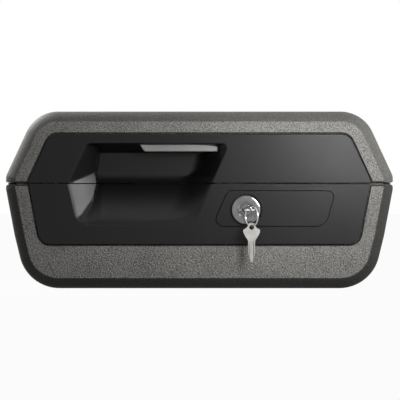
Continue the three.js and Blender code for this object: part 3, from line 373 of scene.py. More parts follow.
def rounded(corners):
    """Points along an outline, its corners rounded by arcs."""
    points = []
    for i, (x, z, radius, steps) in enumerate(corners):
        here = Vector((x, z))
        a = (Vector(corners[i - 1][:2]) - here).normalized()
        b = (Vector(corners[(i + 1) % len(corners)][:2]) - here).normalized()
        half = math.acos(max(-1.0, min(1.0, a.dot(b)))) / 2
        middle = here + (a + b).normalized() * (radius / math.sin(half))
        start = here + a * (radius / math.tan(half)) - middle
        for k in range(steps + 1):
            turn = (math.pi - 2 * half) * k / steps
            cos, sin = math.cos(turn), math.sin(turn)
            points.append((start.x * cos - start.y * sin + middle.x,
                           start.x * sin + start.y * cos + middle.y))
    return points


def arc(x, y, radius, start, end, count):
    """Points on an arc, angles in degrees."""
    turns = [math.radians(start + (end - start) * k / count) for k in range(count + 1)]
    return [(x + radius * math.cos(t), y + radius * math.sin(t)) for t in turns]


def circle(x, z, radius, count=64):
    turns = [2 * math.pi * k / count for k in range(count)]
    return [(x + radius * math.cos(t), z + radius * math.sin(t)) for t in turns]


def rounded_edge(radius, start, steps):
    """Depths and draws of a rounded edge, from a start angle in degrees to where it runs straight back."""
    turns = [math.radians(start + (90 - start) * k / steps) for k in range(steps + 1)]
    return [(radius * (1 - math.cos(t)), radius * (1 - math.sin(t))) for t in turns]


# Solids as meshes, in metres


def added(name, data):
    """A new object in the scene."""
    made = bpy.data.objects.new(name, data)
    bpy.context.scene.collection.objects.link(made)
    return made


def body(name, points, faces):
    mesh = bpy.data.meshes.new(name)
    mesh.from_pydata([tuple(c * MM for c in p) for p in points], [], faces)
    made = bmesh.new()
    made.from_mesh(mesh)
    bmesh.ops.remove_doubles(made, verts=made.verts, dist=WELD * MM)
    bmesh.ops.recalc_face_normals(made, faces=made.faces)
    made.to_mesh(mesh)
    made.free()
    return added(name, mesh)


def loft(name, rings):
    """A closed body through rings of 3-D points that all have the same number of points."""
    count = len(rings[0])
    faces = []
    for r in range(len(rings) - 1):
        for i in range(count):
            a, b = r * count + i, r * count + (i + 1) % count
            faces.append((a, b, b + count, a + count))
    last = (len(rings) - 1) * count
    faces.append(tuple(range(count))[::-1])
    faces.append(tuple(range(last, last + count)))
    return body(name, [p for ring in rings for p in ring], faces)


# Bodies through outlines that stand square to an axis, each with its place on the axis


def along_x(name, stations):
    return loft(name, [[(x, y, z) for y, z in outline] for x, outline in stations])


def along_y(name, stations):
    return loft(name, [[(x, y, z) for x, z in outline] for y, outline in stations])


def along_z(name, stations):
    return loft(name, [[(x, y, z) for x, y in outline] for z, outline in stations])


def block(name, low, high):
    (x0, y0, z0), (x1, y1, z1) = low, high
    return along_z(name, [(z, [(x0, y0), (x1, y0), (x1, y1), (x0, y1)]) for z in (z0, z1)])


def cylinder_z(place, radius, z0, z1, count=64):
    outline = circle(*place, radius, count)
    return along_z("cylinder", [(z0, outline), (z1, outline)])


def lock_cylinder(radius, y0, y1, count=64):
    outline = circle(LOCK_X, LOCK_Z, radius, count)
    return along_y("cylinder", [(y0, outline), (y1, outline)])


def turned(name, profile, count=96):
    """A closed body turned about the lock's middle line, from points of radius and Y."""
    points = []
    for k in range(count):
        turn = 2 * math.pi * k / count
        points += [(LOCK_X + r * math.cos(turn), y, LOCK_Z + r * math.sin(turn)) for r, y in profile]
    size = len(profile)
    faces = []
    for k in range(count):
        for i in range(size):
            j = (i + 1) % size
            if profile[i][0] == 0 and profile[j][0] == 0:
                continue
            a, b = k * size, ((k + 1) % count) * size
            faces.append((a + i, a + j, b + j, b + i))
    return body(name, points, faces)


def through_face(name, outline, radius, start, steps, end):
    """A body from ahead of the front face to an end behind it, its outline narrowed by a rounded edge."""
    stations = [(FRONT - OVERRUN, outline(radius + FLARE))]
    stations += [(FRONT + depth, outline(draw)) for depth, draw in rounded_edge(radius, start, steps)]
    return along_y(name, [*stations, (end, outline(0.0))])


def front_to_back(name, front, back, stations):
    """A body between two faces, each with the same stations of depth and outline behind it."""
    first = [(front + depth, outline) for depth, outline in stations]
    last = [(back - depth, outline) for depth, outline in stations[::-1]]
    return along_y(name, first + last)


def baked(piece):
    """The piece with its modifiers worked into its mesh."""
    graph = bpy.context.evaluated_depsgraph_get()
    mesh = bpy.data.meshes.new_from_object(piece.evaluated_get(graph))
    piece.modifiers.clear()
    old = piece.data
    piece.data = mesh
    bpy.data.meshes.remove(old)
    return piece


def combine(target, tools, operation):
    """Joins tools to the target, cuts them from it or keeps what is common, and removes the tools."""
    for tool in tools:
        step = target.modifiers.new("step", "BOOLEAN")
        step.operation = operation
        step.solver = "MANIFOLD"
        step.object = tool
        baked(target)
        bpy.data.objects.remove(tool)
    return target


def cut(target, *tools):
    return combine(target, tools, "DIFFERENCE")


def join(target, *tools):
    return combine(target, tools, "UNION")


def common(target, *tools):
    return combine(target, tools, "INTERSECT")


def softened(piece, width):
    """The piece with its sharp edges bevelled."""
    bevel = piece.modifiers.new("soft_edges", "BEVEL")
    bevel.width = width * MM
    bevel.segments = 2
    bevel.limit_method = "ANGLE"
    bevel.angle_limit = math.radians(30)
    return baked(piece)


def placed(piece, place, angle, axis):
    """The piece turned about an axis through the origin and moved to a place."""
    piece.data.transform(Matrix.Translation(Vector(place) * MM) @ Matrix.Rotation(angle, 4, axis))
    return piece


def smooth(piece):
    """Smooth faces, with sharp edges where the surface turns by more than a limit."""
    shape = bmesh.new()
    shape.from_mesh(piece.data)
    bmesh.ops.remove_doubles(shape, verts=shape.verts, dist=LAST_WELD * MM)
    bmesh.ops.dissolve_degenerate(shape, edges=shape.edges, dist=LAST_WELD * MM)
    limit = math.radians(32)
    for face in shape.faces:
        face.smooth = True
    for edge in shape.edges:
        edge.smooth = not (len(edge.link_faces) == 2 and edge.calc_face_angle(0.0) > limit)
    shape.to_mesh(piece.data)
    shape.free()
    normals = piece.modifiers.new("normals", "WEIGHTED_NORMAL")
    normals.keep_sharp = True
    normals.weight = 80
    normals.thresh = 0.01


# Case shells


BASE_CORNERS = mirrored([
    (BASE_FOOT_HALF, 0.0, BASE_FOOT_ROUND, 16), (BASE_SIDE_HALF, BASE_SIDE_Z, BASE_SIDE_ROUND, 4),
    (HALF_WIDTH, BASE_SHOULDER, BAND_ROUND, 4), (HALF_WIDTH, BASE_TOP, BASE_RIM, 6),
])
LID_CORNERS = mirrored([
    (HALF_WIDTH, LID_BOTTOM, LID_RIM, 5), (HALF_WIDTH, BAND_TOP, BAND_ROUND, 6),
    (TOP_HALF, TOP, TOP_ROUND, 16),
])
CASE_CORNERS = mirrored([
    (BOTTOM_HALF, 0.0, BOTTOM_ROUND, 8), (HALF_WIDTH, SEAM, SEAM_ROUND, 8),
    (HALF_WIDTH, BAND_TOP, BAND_ROUND, 8), (TOP_HALF, TOP, TOP_ROUND, 8),
])
BASE_SEAM_EDGE = 4
LID_SEAM_EDGE = 0


def edge_profile(steps):
    """Depths and draws along the case's front edge, which leaves the front face at a crease."""
    pairs = []
    for k in range(steps + 1):
        turn = CREASE + (math.pi / 2 - CREASE) * k / steps
        inward = EDGE_WIDTH * (1 - math.sin(turn)) / (1 - math.sin(CREASE))
        pairs.append((EDGE_DEPTH * (1 - math.cos(turn) / math.cos(CREASE)), inward))
    return pairs


def rim_inset(depth, radius):
    """How far a rim of a given radius is drawn in at a depth behind its face."""
    missing = np.clip(radius - depth, 0, None)
    return radius - np.sqrt(radius ** 2 - missing ** 2)


def half_block(name, corners, seam_edge, seam_radius):
    """One half of the case as a closed block whose seam edge is rounded by its own small radius."""
    knots, draws = zip(*edge_profile(10))
    stations = []
    for depth in sorted({round(knot, 3) for knot in knots} | set(RIM_DEPTHS)):
        amounts = [float(np.interp(depth, knots, draws))] * len(corners)
        amounts[seam_edge] = float(rim_inset(depth, seam_radius))
        stations.append((depth, rounded(moved(corners, amounts))))
    return front_to_back(name, FRONT, BACK, stations)


def case_block(name, front, back, wall):
    """The case's form with its outline drawn in by a wall, between two faces."""
    stations = [(depth, rounded(inset(CASE_CORNERS, wall + draw))) for depth, draw in edge_profile(4)]
    return front_to_back(name, front, back, stations)


def inner_block():
    return case_block("inner", FRONT_WALL, BACK - SHELL_WALL, SHELL_WALL)


def panel_corners(gap):
    """The front panel's outline, drawn in from the case's and level at its foot."""
    drawn = inset(CASE_CORNERS, PANEL_INSET + gap)
    foot = PANEL_FOOT + gap
    (x1, z1), (x2, z2) = drawn[1][:2], drawn[2][:2]
    foot_x = x2 - (x2 - x1) / (z2 - z1) * (z2 - foot)
    right = [(foot_x, foot, PANEL_CORNER - gap), *(corner[:3] for corner in drawn[3:5])]
    return mirrored([(*corner, 12) for corner in right])


def pocket():
    """The cutter for the panel's seat, with a rounded lip."""
    return through_face("pocket", lambda draw: rounded(panel_corners(-draw)), POCKET_LIP, 12, 5, POCKET_FLOOR)


def mouth_prism():
    """The cutter for the recess in both shells."""
    outline = rounded(inset(MOUTH_CUT, -MOUTH_MARGIN))
    return along_y("mouth", [(FRONT - OVERRUN, outline), (MOUTH_CUT_END, outline)])


def knuckle(x, width, side):
    """A hinge barrel on an arm from the back wall, down from the seam for side -1 and up for side 1."""
    outline = arc(HINGE_Y, SEAM, KNUCKLE_RADIUS, 0, -180 * side, 20)
    outline += [(ARM_FRONT, SEAM + side * KNUCKLE_RADIUS), (ARM_FRONT, SEAM + side * ARM_REACH)]
    return along_x("knuckle", [(x - width / 2, outline), (x + width / 2, outline)])


def hinge_bore():
    outline = circle(HINGE_Y, SEAM, HINGE_BORE, 32)
    return along_x("bore", [(-HALF_WIDTH, outline), (HALF_WIDTH, outline)])


def barrel_hole():
    return lock_cylinder(BARREL_HOLE, FRONT - OVERRUN, BARREL_HOLE_END)


def seam_tongue():
    """Thin lip on the base's rim, inside the lid's edge, that closes the seam to the eye."""
    tongue = case_block("tongue", FRONT_WALL - TONGUE_AHEAD, BACK - TONGUE_INSET, TONGUE_INSET)
    band = block("band", (-HALF_WIDTH, FRONT, TONGUE_FOOT), (HALF_WIDTH, BACK, TONGUE_TOP))
    return cut(common(tongue, band), inner_block(), mouth_prism())


def base_shell():
    shell = half_block("base_case", BASE_CORNERS, BASE_SEAM_EDGE, BASE_RIM)
    shell = cut(shell, inner_block(), pocket(), mouth_prism())
    shell = join(shell, seam_tongue())
    for x in (-HINGE_X, HINGE_X):
        for offset in (-BASE_KNUCKLE_OFFSET, BASE_KNUCKLE_OFFSET):
            shell = join(shell, knuckle(x + offset, BASE_KNUCKLE, -1))
    fill_head = cylinder_z(FILL_PLACE, FILL_HEAD_RADIUS, -OVERRUN, FILL_HEAD_DEPTH)
    fill_hole = cylinder_z(FILL_PLACE, FILL_HOLE_RADIUS, -OVERRUN, SHELL_WALL + OVERRUN)
    return cut(shell, hinge_bore(), fill_head, fill_hole, barrel_hole())


def lid_shell():
    shell = half_block("lid_case", LID_CORNERS, LID_SEAM_EDGE, LID_RIM)
    shell = cut(shell, inner_block(), pocket(), mouth_prism())
    for x in (-HINGE_X, HINGE_X):
        shell = join(shell, knuckle(x, LID_KNUCKLE, 1))
    for place in BOSS_PLACES:
        shell = join(shell, cylinder_z(place, BOSS_RADIUS, BOSS_FOOT, BOSS_TOP, 32))
    bores = [cylinder_z(place, BOSS_BORE, BOSS_FOOT - OVERRUN, BOSS_BORE_TOP, 24) for place in BOSS_PLACES]
    return cut(shell, hinge_bore(), block("well", WELL_LOW, WELL_HIGH), *bores)


# Hand recess as a smooth field of depths over the front face


def smooth_least(a, b, reach):
    near = np.clip(reach - np.abs(a - b), 0, None) / reach
    return np.minimum(a, b) - near * near * reach / 4


def corner_distance(a, b, radius):
    """Distance inside a rounded corner of two edges that lie at distances a and b."""
    near = radius - np.hypot(np.clip(radius - a, 0, None), np.clip(radius - b, 0, None))
    return near + np.clip(np.minimum(a, b) - radius, 0, None)


def between(z, z0, x0, z1, x1):
    """X at a height on the line from x0 at z0 to x1 at z1."""
    return x0 + (x1 - x0) * (z - z0) / (z1 - z0)


def mouth_upper_left(z):
    return between(z, SEAM, MOUTH_SEAM_LEFT, MOUTH_TOP, MOUTH_TOP_LEFT)


def mouth_lower_left(z):
    return between(z, SEAM, MOUTH_SEAM_LEFT, MOUTH_BOTTOM, MOUTH_BOTTOM_LEFT)


def mouth_right(z):
    return between(z, MOUTH_BOTTOM, MOUTH_BOTTOM_RIGHT, MOUTH_TOP, MOUTH_TOP_RIGHT)


def mouth_edge(x, z):
    """Distance inside the mouth's outline, whose corners are rounded."""
    upper_left = (x - mouth_upper_left(z)) * UPPER_LEFT_SHARE
    left = np.minimum(upper_left, (x - mouth_lower_left(z)) * LOWER_LEFT_SHARE)
    right = (mouth_right(z) - x) * RIGHT_SHARE
    top, bottom = MOUTH_TOP - z, z - MOUTH_BOTTOM
    return np.minimum.reduce([
        corner_distance(top, right, MOUTH_TOP_RIGHT_ROUND), corner_distance(top, left, MOUTH_TOP_LEFT_ROUND),
        corner_distance(bottom, left, MOUTH_BOTTOM_LEFT_ROUND),
        corner_distance(bottom, right, MOUTH_BOTTOM_RIGHT_ROUND),
    ])


def recess_ramp(x, z):
    """Depth of the ramp that climbs from the mouth's foot to the grip's floor, with a soft start."""
    slope = math.sqrt((GRIP_DEPTH + RAMP_LEAD_IN) ** 2 - RAMP_LEAD_IN ** 2) / (GRIP_BOTTOM - MOUTH_BOTTOM)
    climb = z - MOUTH_BOTTOM
    lead_in = np.interp(x, [FACET_LEAD_IN_X, RAMP_LEAD_IN_X], [FACET_LEAD_IN, RAMP_LEAD_IN])
    return np.sign(climb) * (np.sqrt((slope * climb) ** 2 + lead_in ** 2) - lead_in)


def recess_left(x, z):
    """Depths of the left side's upper and lower facet, each with a steeper step at its inner edge."""
    back_left = between(z, KNEE_Z, KNEE_LEFT, GRIP_TOP, GRIP_LEFT)
    knee = np.interp(z, [FACET_FOOT_Z, SEAM, KNEE_Z], [FACET_FOOT_LEFT, FACET_SEAM_LEFT, KNEE_LEFT])
    inside = corner_distance(x - mouth_lower_left(z), FACET_CLIMB * (z - MOUTH_BOTTOM), FACET_CORNER)
    low = FACET_SLOPE * inside + FACET_STEP * np.clip(x - knee, 0, None)
    knee_depth = FACET_SLOPE * (KNEE_LEFT - mouth_lower_left(KNEE_Z))
    high_slope = knee_depth / (KNEE_LEFT - mouth_upper_left(KNEE_Z))
    high = high_slope * (x - mouth_upper_left(z)) + FACET_STEP * np.clip(x - back_left, 0, None)
    return high, low


def recess_right(x, z, depth):
    """Depth of the right side, which falls from the mouth's edge to the grip's or the ramp's."""
    rise = np.clip(z - GRIP_BOTTOM, 0, None)
    grip_right = between(GRIP_BOTTOM + rise, GRIP_BOTTOM, GRIP_BOTTOM_RIGHT, GRIP_TOP, GRIP_TOP_RIGHT)
    ramp_right = between(z, GRIP_BOTTOM, RAMP_TOP_RIGHT, MOUTH_BOTTOM, RAMP_BOTTOM_RIGHT)
    back_right = np.where(z > GRIP_BOTTOM, grip_right - rim_inset(rise, GRIP_ROUND), ramp_right)
    here = np.clip(np.minimum(depth, GRIP_DEPTH), LEAST_DEPTH, None)
    return here * (mouth_right(z) - x) / (mouth_right(z) - back_right)


def recess_depth(x, z, wall=0.0):
    """Depth of the recess, or of its back surface a wall's thickness behind it."""
    ramp, ceiling = recess_ramp(x, z), CEILING_SLOPE * (MOUTH_TOP - z)
    surfaces = (ramp, ceiling, *recess_left(x, z), recess_right(x, z, np.minimum(ramp, ceiling)))
    ramp, ceiling, left_high, left_low, right = (
        surface + wall * math.sqrt(1 + slope * slope) for surface, slope in zip(surfaces, WALL_SLOPES))
    back = smooth_least(ramp, np.full_like(ramp, GRIP_DEPTH + wall), RAMP_BLEND)
    left = smooth_least(left_high, left_low, KNEE_BLEND)
    left_blend = np.interp(z, [MOUTH_BOTTOM, SEAM], [LEFT_FOOT_BLEND, LEFT_SEAM_BLEND])
    depth = smooth_least(back, left, left_blend)
    depth = smooth_least(depth, right, RIGHT_BLEND)
    depth = smooth_least(depth, ceiling, CEILING_BLEND)
    return smooth_least(depth, MOUTH_STEEPNESS * mouth_edge(x, z) + MOUTH_WALL * wall, MOUTH_BLEND)


def recess_front(x, z):
    """The panel's front surface: flat, with a rounded lip into the recess."""
    return -smooth_least(-recess_depth(x, z), np.zeros_like(x), MOUTH_LIP)


def recess_back(x, z):
    return np.maximum(recess_depth(x, z, RECESS_WALL), PANEL_BACK - FRONT)


def lines(low, high, fine_low, fine_high, step):
    """Grid lines that are close between two places, with one more at each end."""
    count = round((fine_high - fine_low) / step)
    return np.array([low, *np.linspace(fine_low, fine_high, count + 1), high])


def slab(name, xs, zs, sunk=0.0):
    """A closed slab over a grid, from the panel's front surface, or behind it by sunk, to its back one."""
    x, z = np.meshgrid(xs, zs)
    front = FRONT + recess_front(x, z) + sunk
    back = FRONT + np.maximum(recess_back(x, z), recess_front(x, z) + LEAST_DEPTH)
    points = np.concatenate([np.stack([x, y, z], -1).reshape(-1, 3) for y in (front, back)])
    at = np.arange(x.size).reshape(x.shape)
    quads = np.stack([at[:-1, :-1], at[:-1, 1:], at[1:, 1:], at[1:, :-1]], -1).reshape(-1, 4)
    faces = np.stack([quads, quads[:, ::-1] + x.size], 1).reshape(-1, 4)
    rim = np.concatenate([at[0], at[1:, -1], at[-1, -2::-1], at[-2:0:-1, 0]])
    after = np.roll(rim, -1)
    sides = np.stack([rim, rim + x.size, after + x.size, after], -1)
    return body(name, points.tolist(), np.concatenate([faces, sides]).tolist())


def panel_slab(name, low, high, step):
    """The panel's slab over the whole face, in fine steps from one height to another."""
    xs = lines(-HALF_WIDTH, HALF_WIDTH, FINE_LEFT, FINE_RIGHT, FINE_STEP)
    return slab(name, xs, lines(0.0, TOP, low, high, step))


def panel_prism(low, high):
    """The panel's outline as a block with a rounded front edge, cut level at both ends."""
    bounds = mirrored([(HALF_WIDTH, low, LEAST_ROUND, 1), (HALF_WIDTH, high, LEAST_ROUND, 1)])
    prism = through_face(
        "prism", lambda draw: rounded(panel_corners(PANEL_GAP + draw)), PANEL_ROUND, 14, 5, PRISM_END)
    band = through_face(
        "band", lambda draw: rounded(inset(bounds, draw)), PANEL_SEAM_ROUND, 20, 3, PRISM_END)
    return common(prism, band)


def base_panel():
    panel = panel_slab("base_panel", FINE_FOOT, PANEL_BASE_TOP + FINE_MARGIN, FINE_STEP)
    panel = common(panel, panel_prism(0.0, PANEL_BASE_TOP))
    lip = slab("lip", np.linspace(LIP_LEFT, LIP_RIGHT, 56), np.array([LIP_FOOT, BASE_TOP, LIP_TOP]), LIP_SUNK)
    wide, plain = rounded(inset(LOCK_PLATE, -SEAT_LIP)), rounded(LOCK_PLATE)
    seat = along_y("seat", [(FRONT - OVERRUN, wide), (FRONT, wide),
                            (FRONT + SEAT_LIP_DEPTH, plain), (FRONT + SEAT_DEPTH, plain)])
    return cut(join(panel, lip), seat, barrel_hole())


def paddle_outline(margin, lean=0.0):
    """The paddle seen from above, grown by a margin, its face and left end drawn in as it leans."""
    corners = [(x + right * lean, FRONT + depth + back * lean, PADDLE_ROUND, 5)
               for x, depth, right, back in PADDLE_CORNERS]
    return rounded(inset(corners, -margin))


def lid_panel():
    panel = panel_slab("lid_panel", PANEL_LID_BOTTOM - FINE_MARGIN, FINE_TOP, LID_FINE_STEP)
    panel = common(panel, panel_prism(PANEL_LID_BOTTOM, TOP))
    outline = paddle_outline(PADDLE_GAP)
    ends = (GRIP_TOP - OPENING_REACH, MOUTH_TOP + OPENING_REACH)
    return cut(panel, along_z("opening", [(z, outline) for z in ends]))


# Lock plate, lock and keys


def behind(y, profile):
    """A turned outline of radius and depth, set behind a place along Y."""
    return [(radius, y + depth) for radius, depth in profile]


def lock_plate():
    """Inset plate with the lock's round sink in it, and a groove round the sink's floor."""
    stations = [(FRONT + depth, rounded(inset(LOCK_PLATE, PLATE_GAP + draw)))
                for depth, draw in rounded_edge(PLATE_EDGE, 8, 4)]
    plate = along_y("plate", [*stations, (FRONT + PLATE_THICK, rounded(inset(LOCK_PLATE, PLATE_GAP)))])
    groove = turned("groove", behind(FRONT, [
        (GROOVE_INNER, GROOVE_START), (SINK_RADIUS, GROOVE_START),
        (SINK_RADIUS, GROOVE_DEPTH), (GROOVE_INNER, GROOVE_DEPTH)]))
    sink = through_face(
        "sink", lambda draw: circle(LOCK_X, LOCK_Z, SINK_RADIUS + draw), SINK_LIP, 18, 3, FRONT + SINK_DEPTH)
    return cut(plate, sink, groove, barrel_hole())


def lock_housing():
    """Flange with a rolled edge, a shallow turned step round the plug, and the threaded barrel."""
    profile = behind(LOCK_FRONT, HOUSING_FACE)
    profile += arc(LOCK_RADIUS - FLANGE_ROLL, LOCK_FRONT + FLANGE_ROLL_DEPTH, FLANGE_ROLL, -90, 0, 8)
    profile += behind(LOCK_SEAT, FLANGE_BACK)
    for y in np.arange(THREAD_START, THREAD_END, THREAD_PITCH):
        profile += [(BARREL_RADIUS - THREAD_DEPTH, y), (BARREL_RADIUS, y + THREAD_PITCH / 2)]
    return turned("housing", profile + behind(BARREL_END, BARREL_BACK))


def keyway_outline(half_x, half_z, radius):
    return rounded([(LOCK_X + i * half_x, LOCK_Z + k * half_z, radius, 3) for i, k in QUARTERS])


def lock_plug():
    """Turning plug with a flared keyway and a square tail with a screw hole."""
    profile = behind(PLUG_FRONT, PLUG_FACE)
    profile += arc(PLUG_RADIUS - PLUG_ROUND, PLUG_FRONT + PLUG_ROUND, PLUG_ROUND, -90, 0, 6)
    plug = turned("plug", [*profile, (PLUG_RADIUS, BARREL_END), (0, BARREL_END)])
    half = PLUG_TAIL_HALF
    tail = block("tail", (LOCK_X - half, BARREL_END - PLUG_TAIL_LENGTH, LOCK_Z - half),
                 (LOCK_X + half, PLUG_TAIL_END, LOCK_Z + half))
    keyway = along_y("keyway", [(PLUG_FRONT + depth, keyway_outline(*sizes)) for depth, *sizes in KEYWAY])
    screw_hole = lock_cylinder(PLUG_SCREW_HOLE, PLUG_TAIL_END - PLUG_SCREW_DEPTH, PLUG_TAIL_END + OVERRUN, 24)
    return cut(join(plug, tail), keyway, screw_hole)


def key_outline():
    """The key seen flat, its right half mirrored to the left."""
    (neck_x, neck_y), (shoulder_x, shoulder_y) = KEY_NECK, KEY_SHOULDER
    half = list(KEY_BLADE)
    for share in np.linspace(0.0, 1.0, 9):
        sag = KEY_NECK_SAG * math.sin(math.pi * share)
        half.append((neck_x + (shoulder_x - neck_x) * share, neck_y + (shoulder_y - neck_y) * share - sag))
    half += arc(*KEY_EAR, KEY_EAR_ROUND, -12.5, 75, 7)
    half += KEY_CROWN
    return half + [(-x, y) for x, y in half[::-1]]


def flute(x, side):
    """Cutter for a long V-shaped flute in one face of the blade."""
    depths = sorted((side * depth, half) for depth, half in (FLUTE_FLOOR, FLUTE_MOUTH))
    return along_z("flute", [
        (z, [(x - half, FLUTE_START), (x + half, FLUTE_START), (x + half, end), (x - half, end)])
        for (z, half), end in zip(depths, FLUTE_ENDS)])


def key(name):
    """A flat key blank with a hole, flutes and softened edges, lying in X and Y."""
    outline = key_outline()
    blank = along_z(name, [(-KEY_HALF_THICK, outline), (KEY_HALF_THICK, outline)])
    hole = cylinder_z((0.0, 0.0), KEY_HOLE_RADIUS, -KEY_HALF_THICK - OVERRUN, KEY_HALF_THICK + OVERRUN, 32)
    flutes = [flute(x, side) for x in (-FLUTE_X, FLUTE_X) for side in (-1, 1)]
    return softened(cut(blank, hole, *flutes), KEY_SOFTNESS)


def tube(name, points, radius, sides=14):
    """A wire along points, thinner at its two ends."""
    path = np.array(points)
    along = np.gradient(path, axis=0)
    along /= np.linalg.norm(along, axis=1)[:, None]
    turns = [2 * math.pi * i / sides for i in range(sides)]
    side = np.cross(along[0], (0.0, 0.0, 1.0))
    rings = []
    for k, (middle, ahead) in enumerate(zip(path, along)):
        side = side - ahead * np.dot(side, ahead)
        side /= np.linalg.norm(side)
        other = np.cross(ahead, side)
        size = radius * (RING_END_SHARE if k in (0, len(path) - 1) else 1.0)
        rings.append([tuple(middle + size * (math.cos(t) * side + math.sin(t) * other)) for t in turns])
    return loft(name, rings)


def key_ring():
    """Split ring: two close turns of wire that change sides half way along."""
    points = []
    steps = 2 * RING_STEPS + RING_OVERLAP
    for k in range(steps + 1):
        turn = RING_START + 2 * math.pi * k / RING_STEPS
        across = math.tanh((k / steps - 0.5) * RING_CHANGE) * RING_PITCH / 2
        points.append((across, RING_RADIUS * math.cos(turn), RING_RADIUS * math.sin(turn)))
    return placed(tube("ring", points, RING_WIRE), RING_CENTRE, RING_TURN, "Z")


def release_paddle():
    """Squeeze paddle: a pad under the lip with its top hidden in the lid, flange, post and spring stubs."""
    foot, shoulder = PADDLE_FOOT, PADDLE_FOOT + PADDLE_HEIGHT
    slope = (MOUTH_TOP - GRIP_TOP) / GRIP_DEPTH
    flange_foot = LID_LIP_WALL * (1 + slope) + FLANGE_GAP
    flange_top = flange_foot + FLANGE_THICK

    def over_ceiling(outline, height, least=0.0):
        """A ring at a height over the recess's sloping ceiling."""
        return [(x, y, max(MOUTH_TOP - slope * (y - FRONT) + height, least)) for x, y in outline]

    rings = []
    for lift, draw in rounded_edge(PADDLE_EDGE, 0, 4):
        rings.append([(x, y, foot + lift) for x, y in paddle_outline(-draw, 1 - lift / PADDLE_HEIGHT)])
    rings.append([(x, y, shoulder) for x, y in paddle_outline(0)])
    rings.append(over_ceiling(paddle_outline(0), flange_top, shoulder + NECK_LEAST))
    low, left = foot - OVERRUN, -HALF_WIDTH
    outline = rounded([(left, low, LEAST_ROUND, 1), (PADDLE_END, low, LEAST_ROUND, 1),
                       (PADDLE_END, shoulder, PADDLE_END_ROUND, 10), (left, shoulder, LEAST_ROUND, 1)])
    face = along_y("face", [(FRONT, outline), (0, outline)])
    neck = block("neck", (left, FRONT, foot), (NECK_RIGHT, 0, TOP))
    pad = common(loft("paddle", rings), join(face, neck))
    rim = paddle_outline(FLANGE_MARGIN)
    flange = loft("flange", [over_ceiling(rim, flange_foot), over_ceiling(rim, flange_top)])
    post = block("post", (*POST_LOW, GRIP_TOP + flange_top), POST_HIGH)
    stubs = [cylinder_z(place, STUB_RADIUS, STUB_FOOT, STUB_TOP, 32) for place in STUB_PLACES]
    return join(pad, flange, post, *stubs)


# Node materials


class Finish:
    """A material built round one Principled shader, in the object's own coordinates."""

    def __init__(self, name, colour, roughness, metallic=0.0, specular=0.5):
        self.material = bpy.data.materials.new(name + "_look")
        self.material.use_nodes = True
        self.tree = self.material.node_tree
        self.shader = self.tree.nodes["Principled BSDF"]
        self.fill(self.shader, {"Base Color": (*colour, 1.0), "Roughness": roughness,
                                "Metallic": metallic, "Specular IOR Level": specular})
        self.place = self.node("ShaderNodeTexCoord").outputs["Object"]
        self.normal = None

    def node(self, kind, **values):
        made = self.tree.nodes.new(kind)
        for attribute, value in values.items():
            setattr(made, attribute, value)
        return made

    def fill(self, node, values):
        """Sets a node's sockets, each from a value or another node's socket."""
        for label, value in values.items():
            if isinstance(value, bpy.types.NodeSocket):
                self.tree.links.new(value, node.inputs[label])
            else:
                node.inputs[label].default_value = value

    def stretched(self, scale):
        """The object's coordinates, scaled by a number for each axis."""
        made = self.node("ShaderNodeMapping")
        self.fill(made, {"Vector": self.place, "Scale": scale})
        return made.outputs["Vector"]

    def noise(self, size, detail=2.0, rough=0.5, place=None):
        """Noise whose blobs are about size metres."""
        made = self.node("ShaderNodeTexNoise")
        self.fill(made, {"Vector": place or self.place, "Scale": 1 / size,
                         "Detail": detail, "Roughness": rough})
        return made.outputs["Fac"]

    def cells(self, size):
        """Distance to the middle of the nearest cell, for cells of about size metres."""
        made = self.node("ShaderNodeTexVoronoi", feature="SMOOTH_F1")
        self.fill(made, {"Vector": self.place, "Scale": 1 / size})
        return made.outputs["Distance"]

    def spread(self, value, low, high, start, end):
        """A value carried from low..high to start..end."""
        made = self.node("ShaderNodeMapRange")
        self.fill(made, {"Value": value, "From Min": low, "From Max": high, "To Min": start, "To Max": end})
        return made.outputs["Result"]

    def mixed(self, share, first, second):
        """Colour between two, each a tuple or a socket."""
        made = self.node("ShaderNodeMix", data_type="RGBA")
        places = {s.name: i for i, s in enumerate(made.inputs) if s.type == "RGBA"}
        colours = [(*c, 1.0) if isinstance(c, tuple) else c for c in (first, second)]
        self.fill(made, {"Factor": share, places["A"]: colours[0], places["B"]: colours[1]})
        return [s for s in made.outputs if s.type == "RGBA"][0]

    def reckoned(self, operation, *values):
        """A sum, a product or the like of one or two sockets."""
        made = self.node("ShaderNodeMath", operation=operation)
        self.fill(made, dict(enumerate(values)))
        return made.outputs["Value"]

    def slanting(self):
        """High on the slanting edge band round the front and the back, low elsewhere; the mask for the pebble
        shells' painted shade.
        """
        parts = self.node("ShaderNodeSeparateXYZ")
        self.fill(parts, {"Vector": self.node("ShaderNodeTexCoord").outputs["Normal"]})
        facing = self.reckoned("ABSOLUTE", parts.outputs["Y"])
        off_face = self.spread(facing, 0.92, 0.98, 1.0, 0.0)
        off_side = self.spread(facing, 0.10, 0.30, 0.0, 1.0)
        return self.reckoned("MULTIPLY", off_face, off_side)

    def edges(self, radius):
        """High within radius metres of an edge, low elsewhere; the mask for painted edge highlights."""
        bevel = self.node("ShaderNodeBevel", samples=4)
        self.fill(bevel, {"Radius": radius})
        product = self.node("ShaderNodeVectorMath", operation="DOT_PRODUCT")
        self.fill(product, {0: bevel.outputs["Normal"],
                            1: self.node("ShaderNodeNewGeometry").outputs["Normal"]})
        return self.spread(product.outputs["Value"], 1.0, 0.8, 0.0, 1.0)

    def bump(self, height, distance):
        """Adds relief; distance is its full height in metres."""
        made = self.node("ShaderNodeBump")
        self.fill(made, {"Strength": 1.0, "Distance": distance, "Height": height})
        if self.normal is not None:
            self.fill(made, {"Normal": self.normal})
        self.normal = made.outputs["Normal"]
        self.fill(self.shader, {"Normal": self.normal})

    def surface(self, colour, roughness):
        self.fill(self.shader, {"Base Color": colour, "Roughness": roughness})


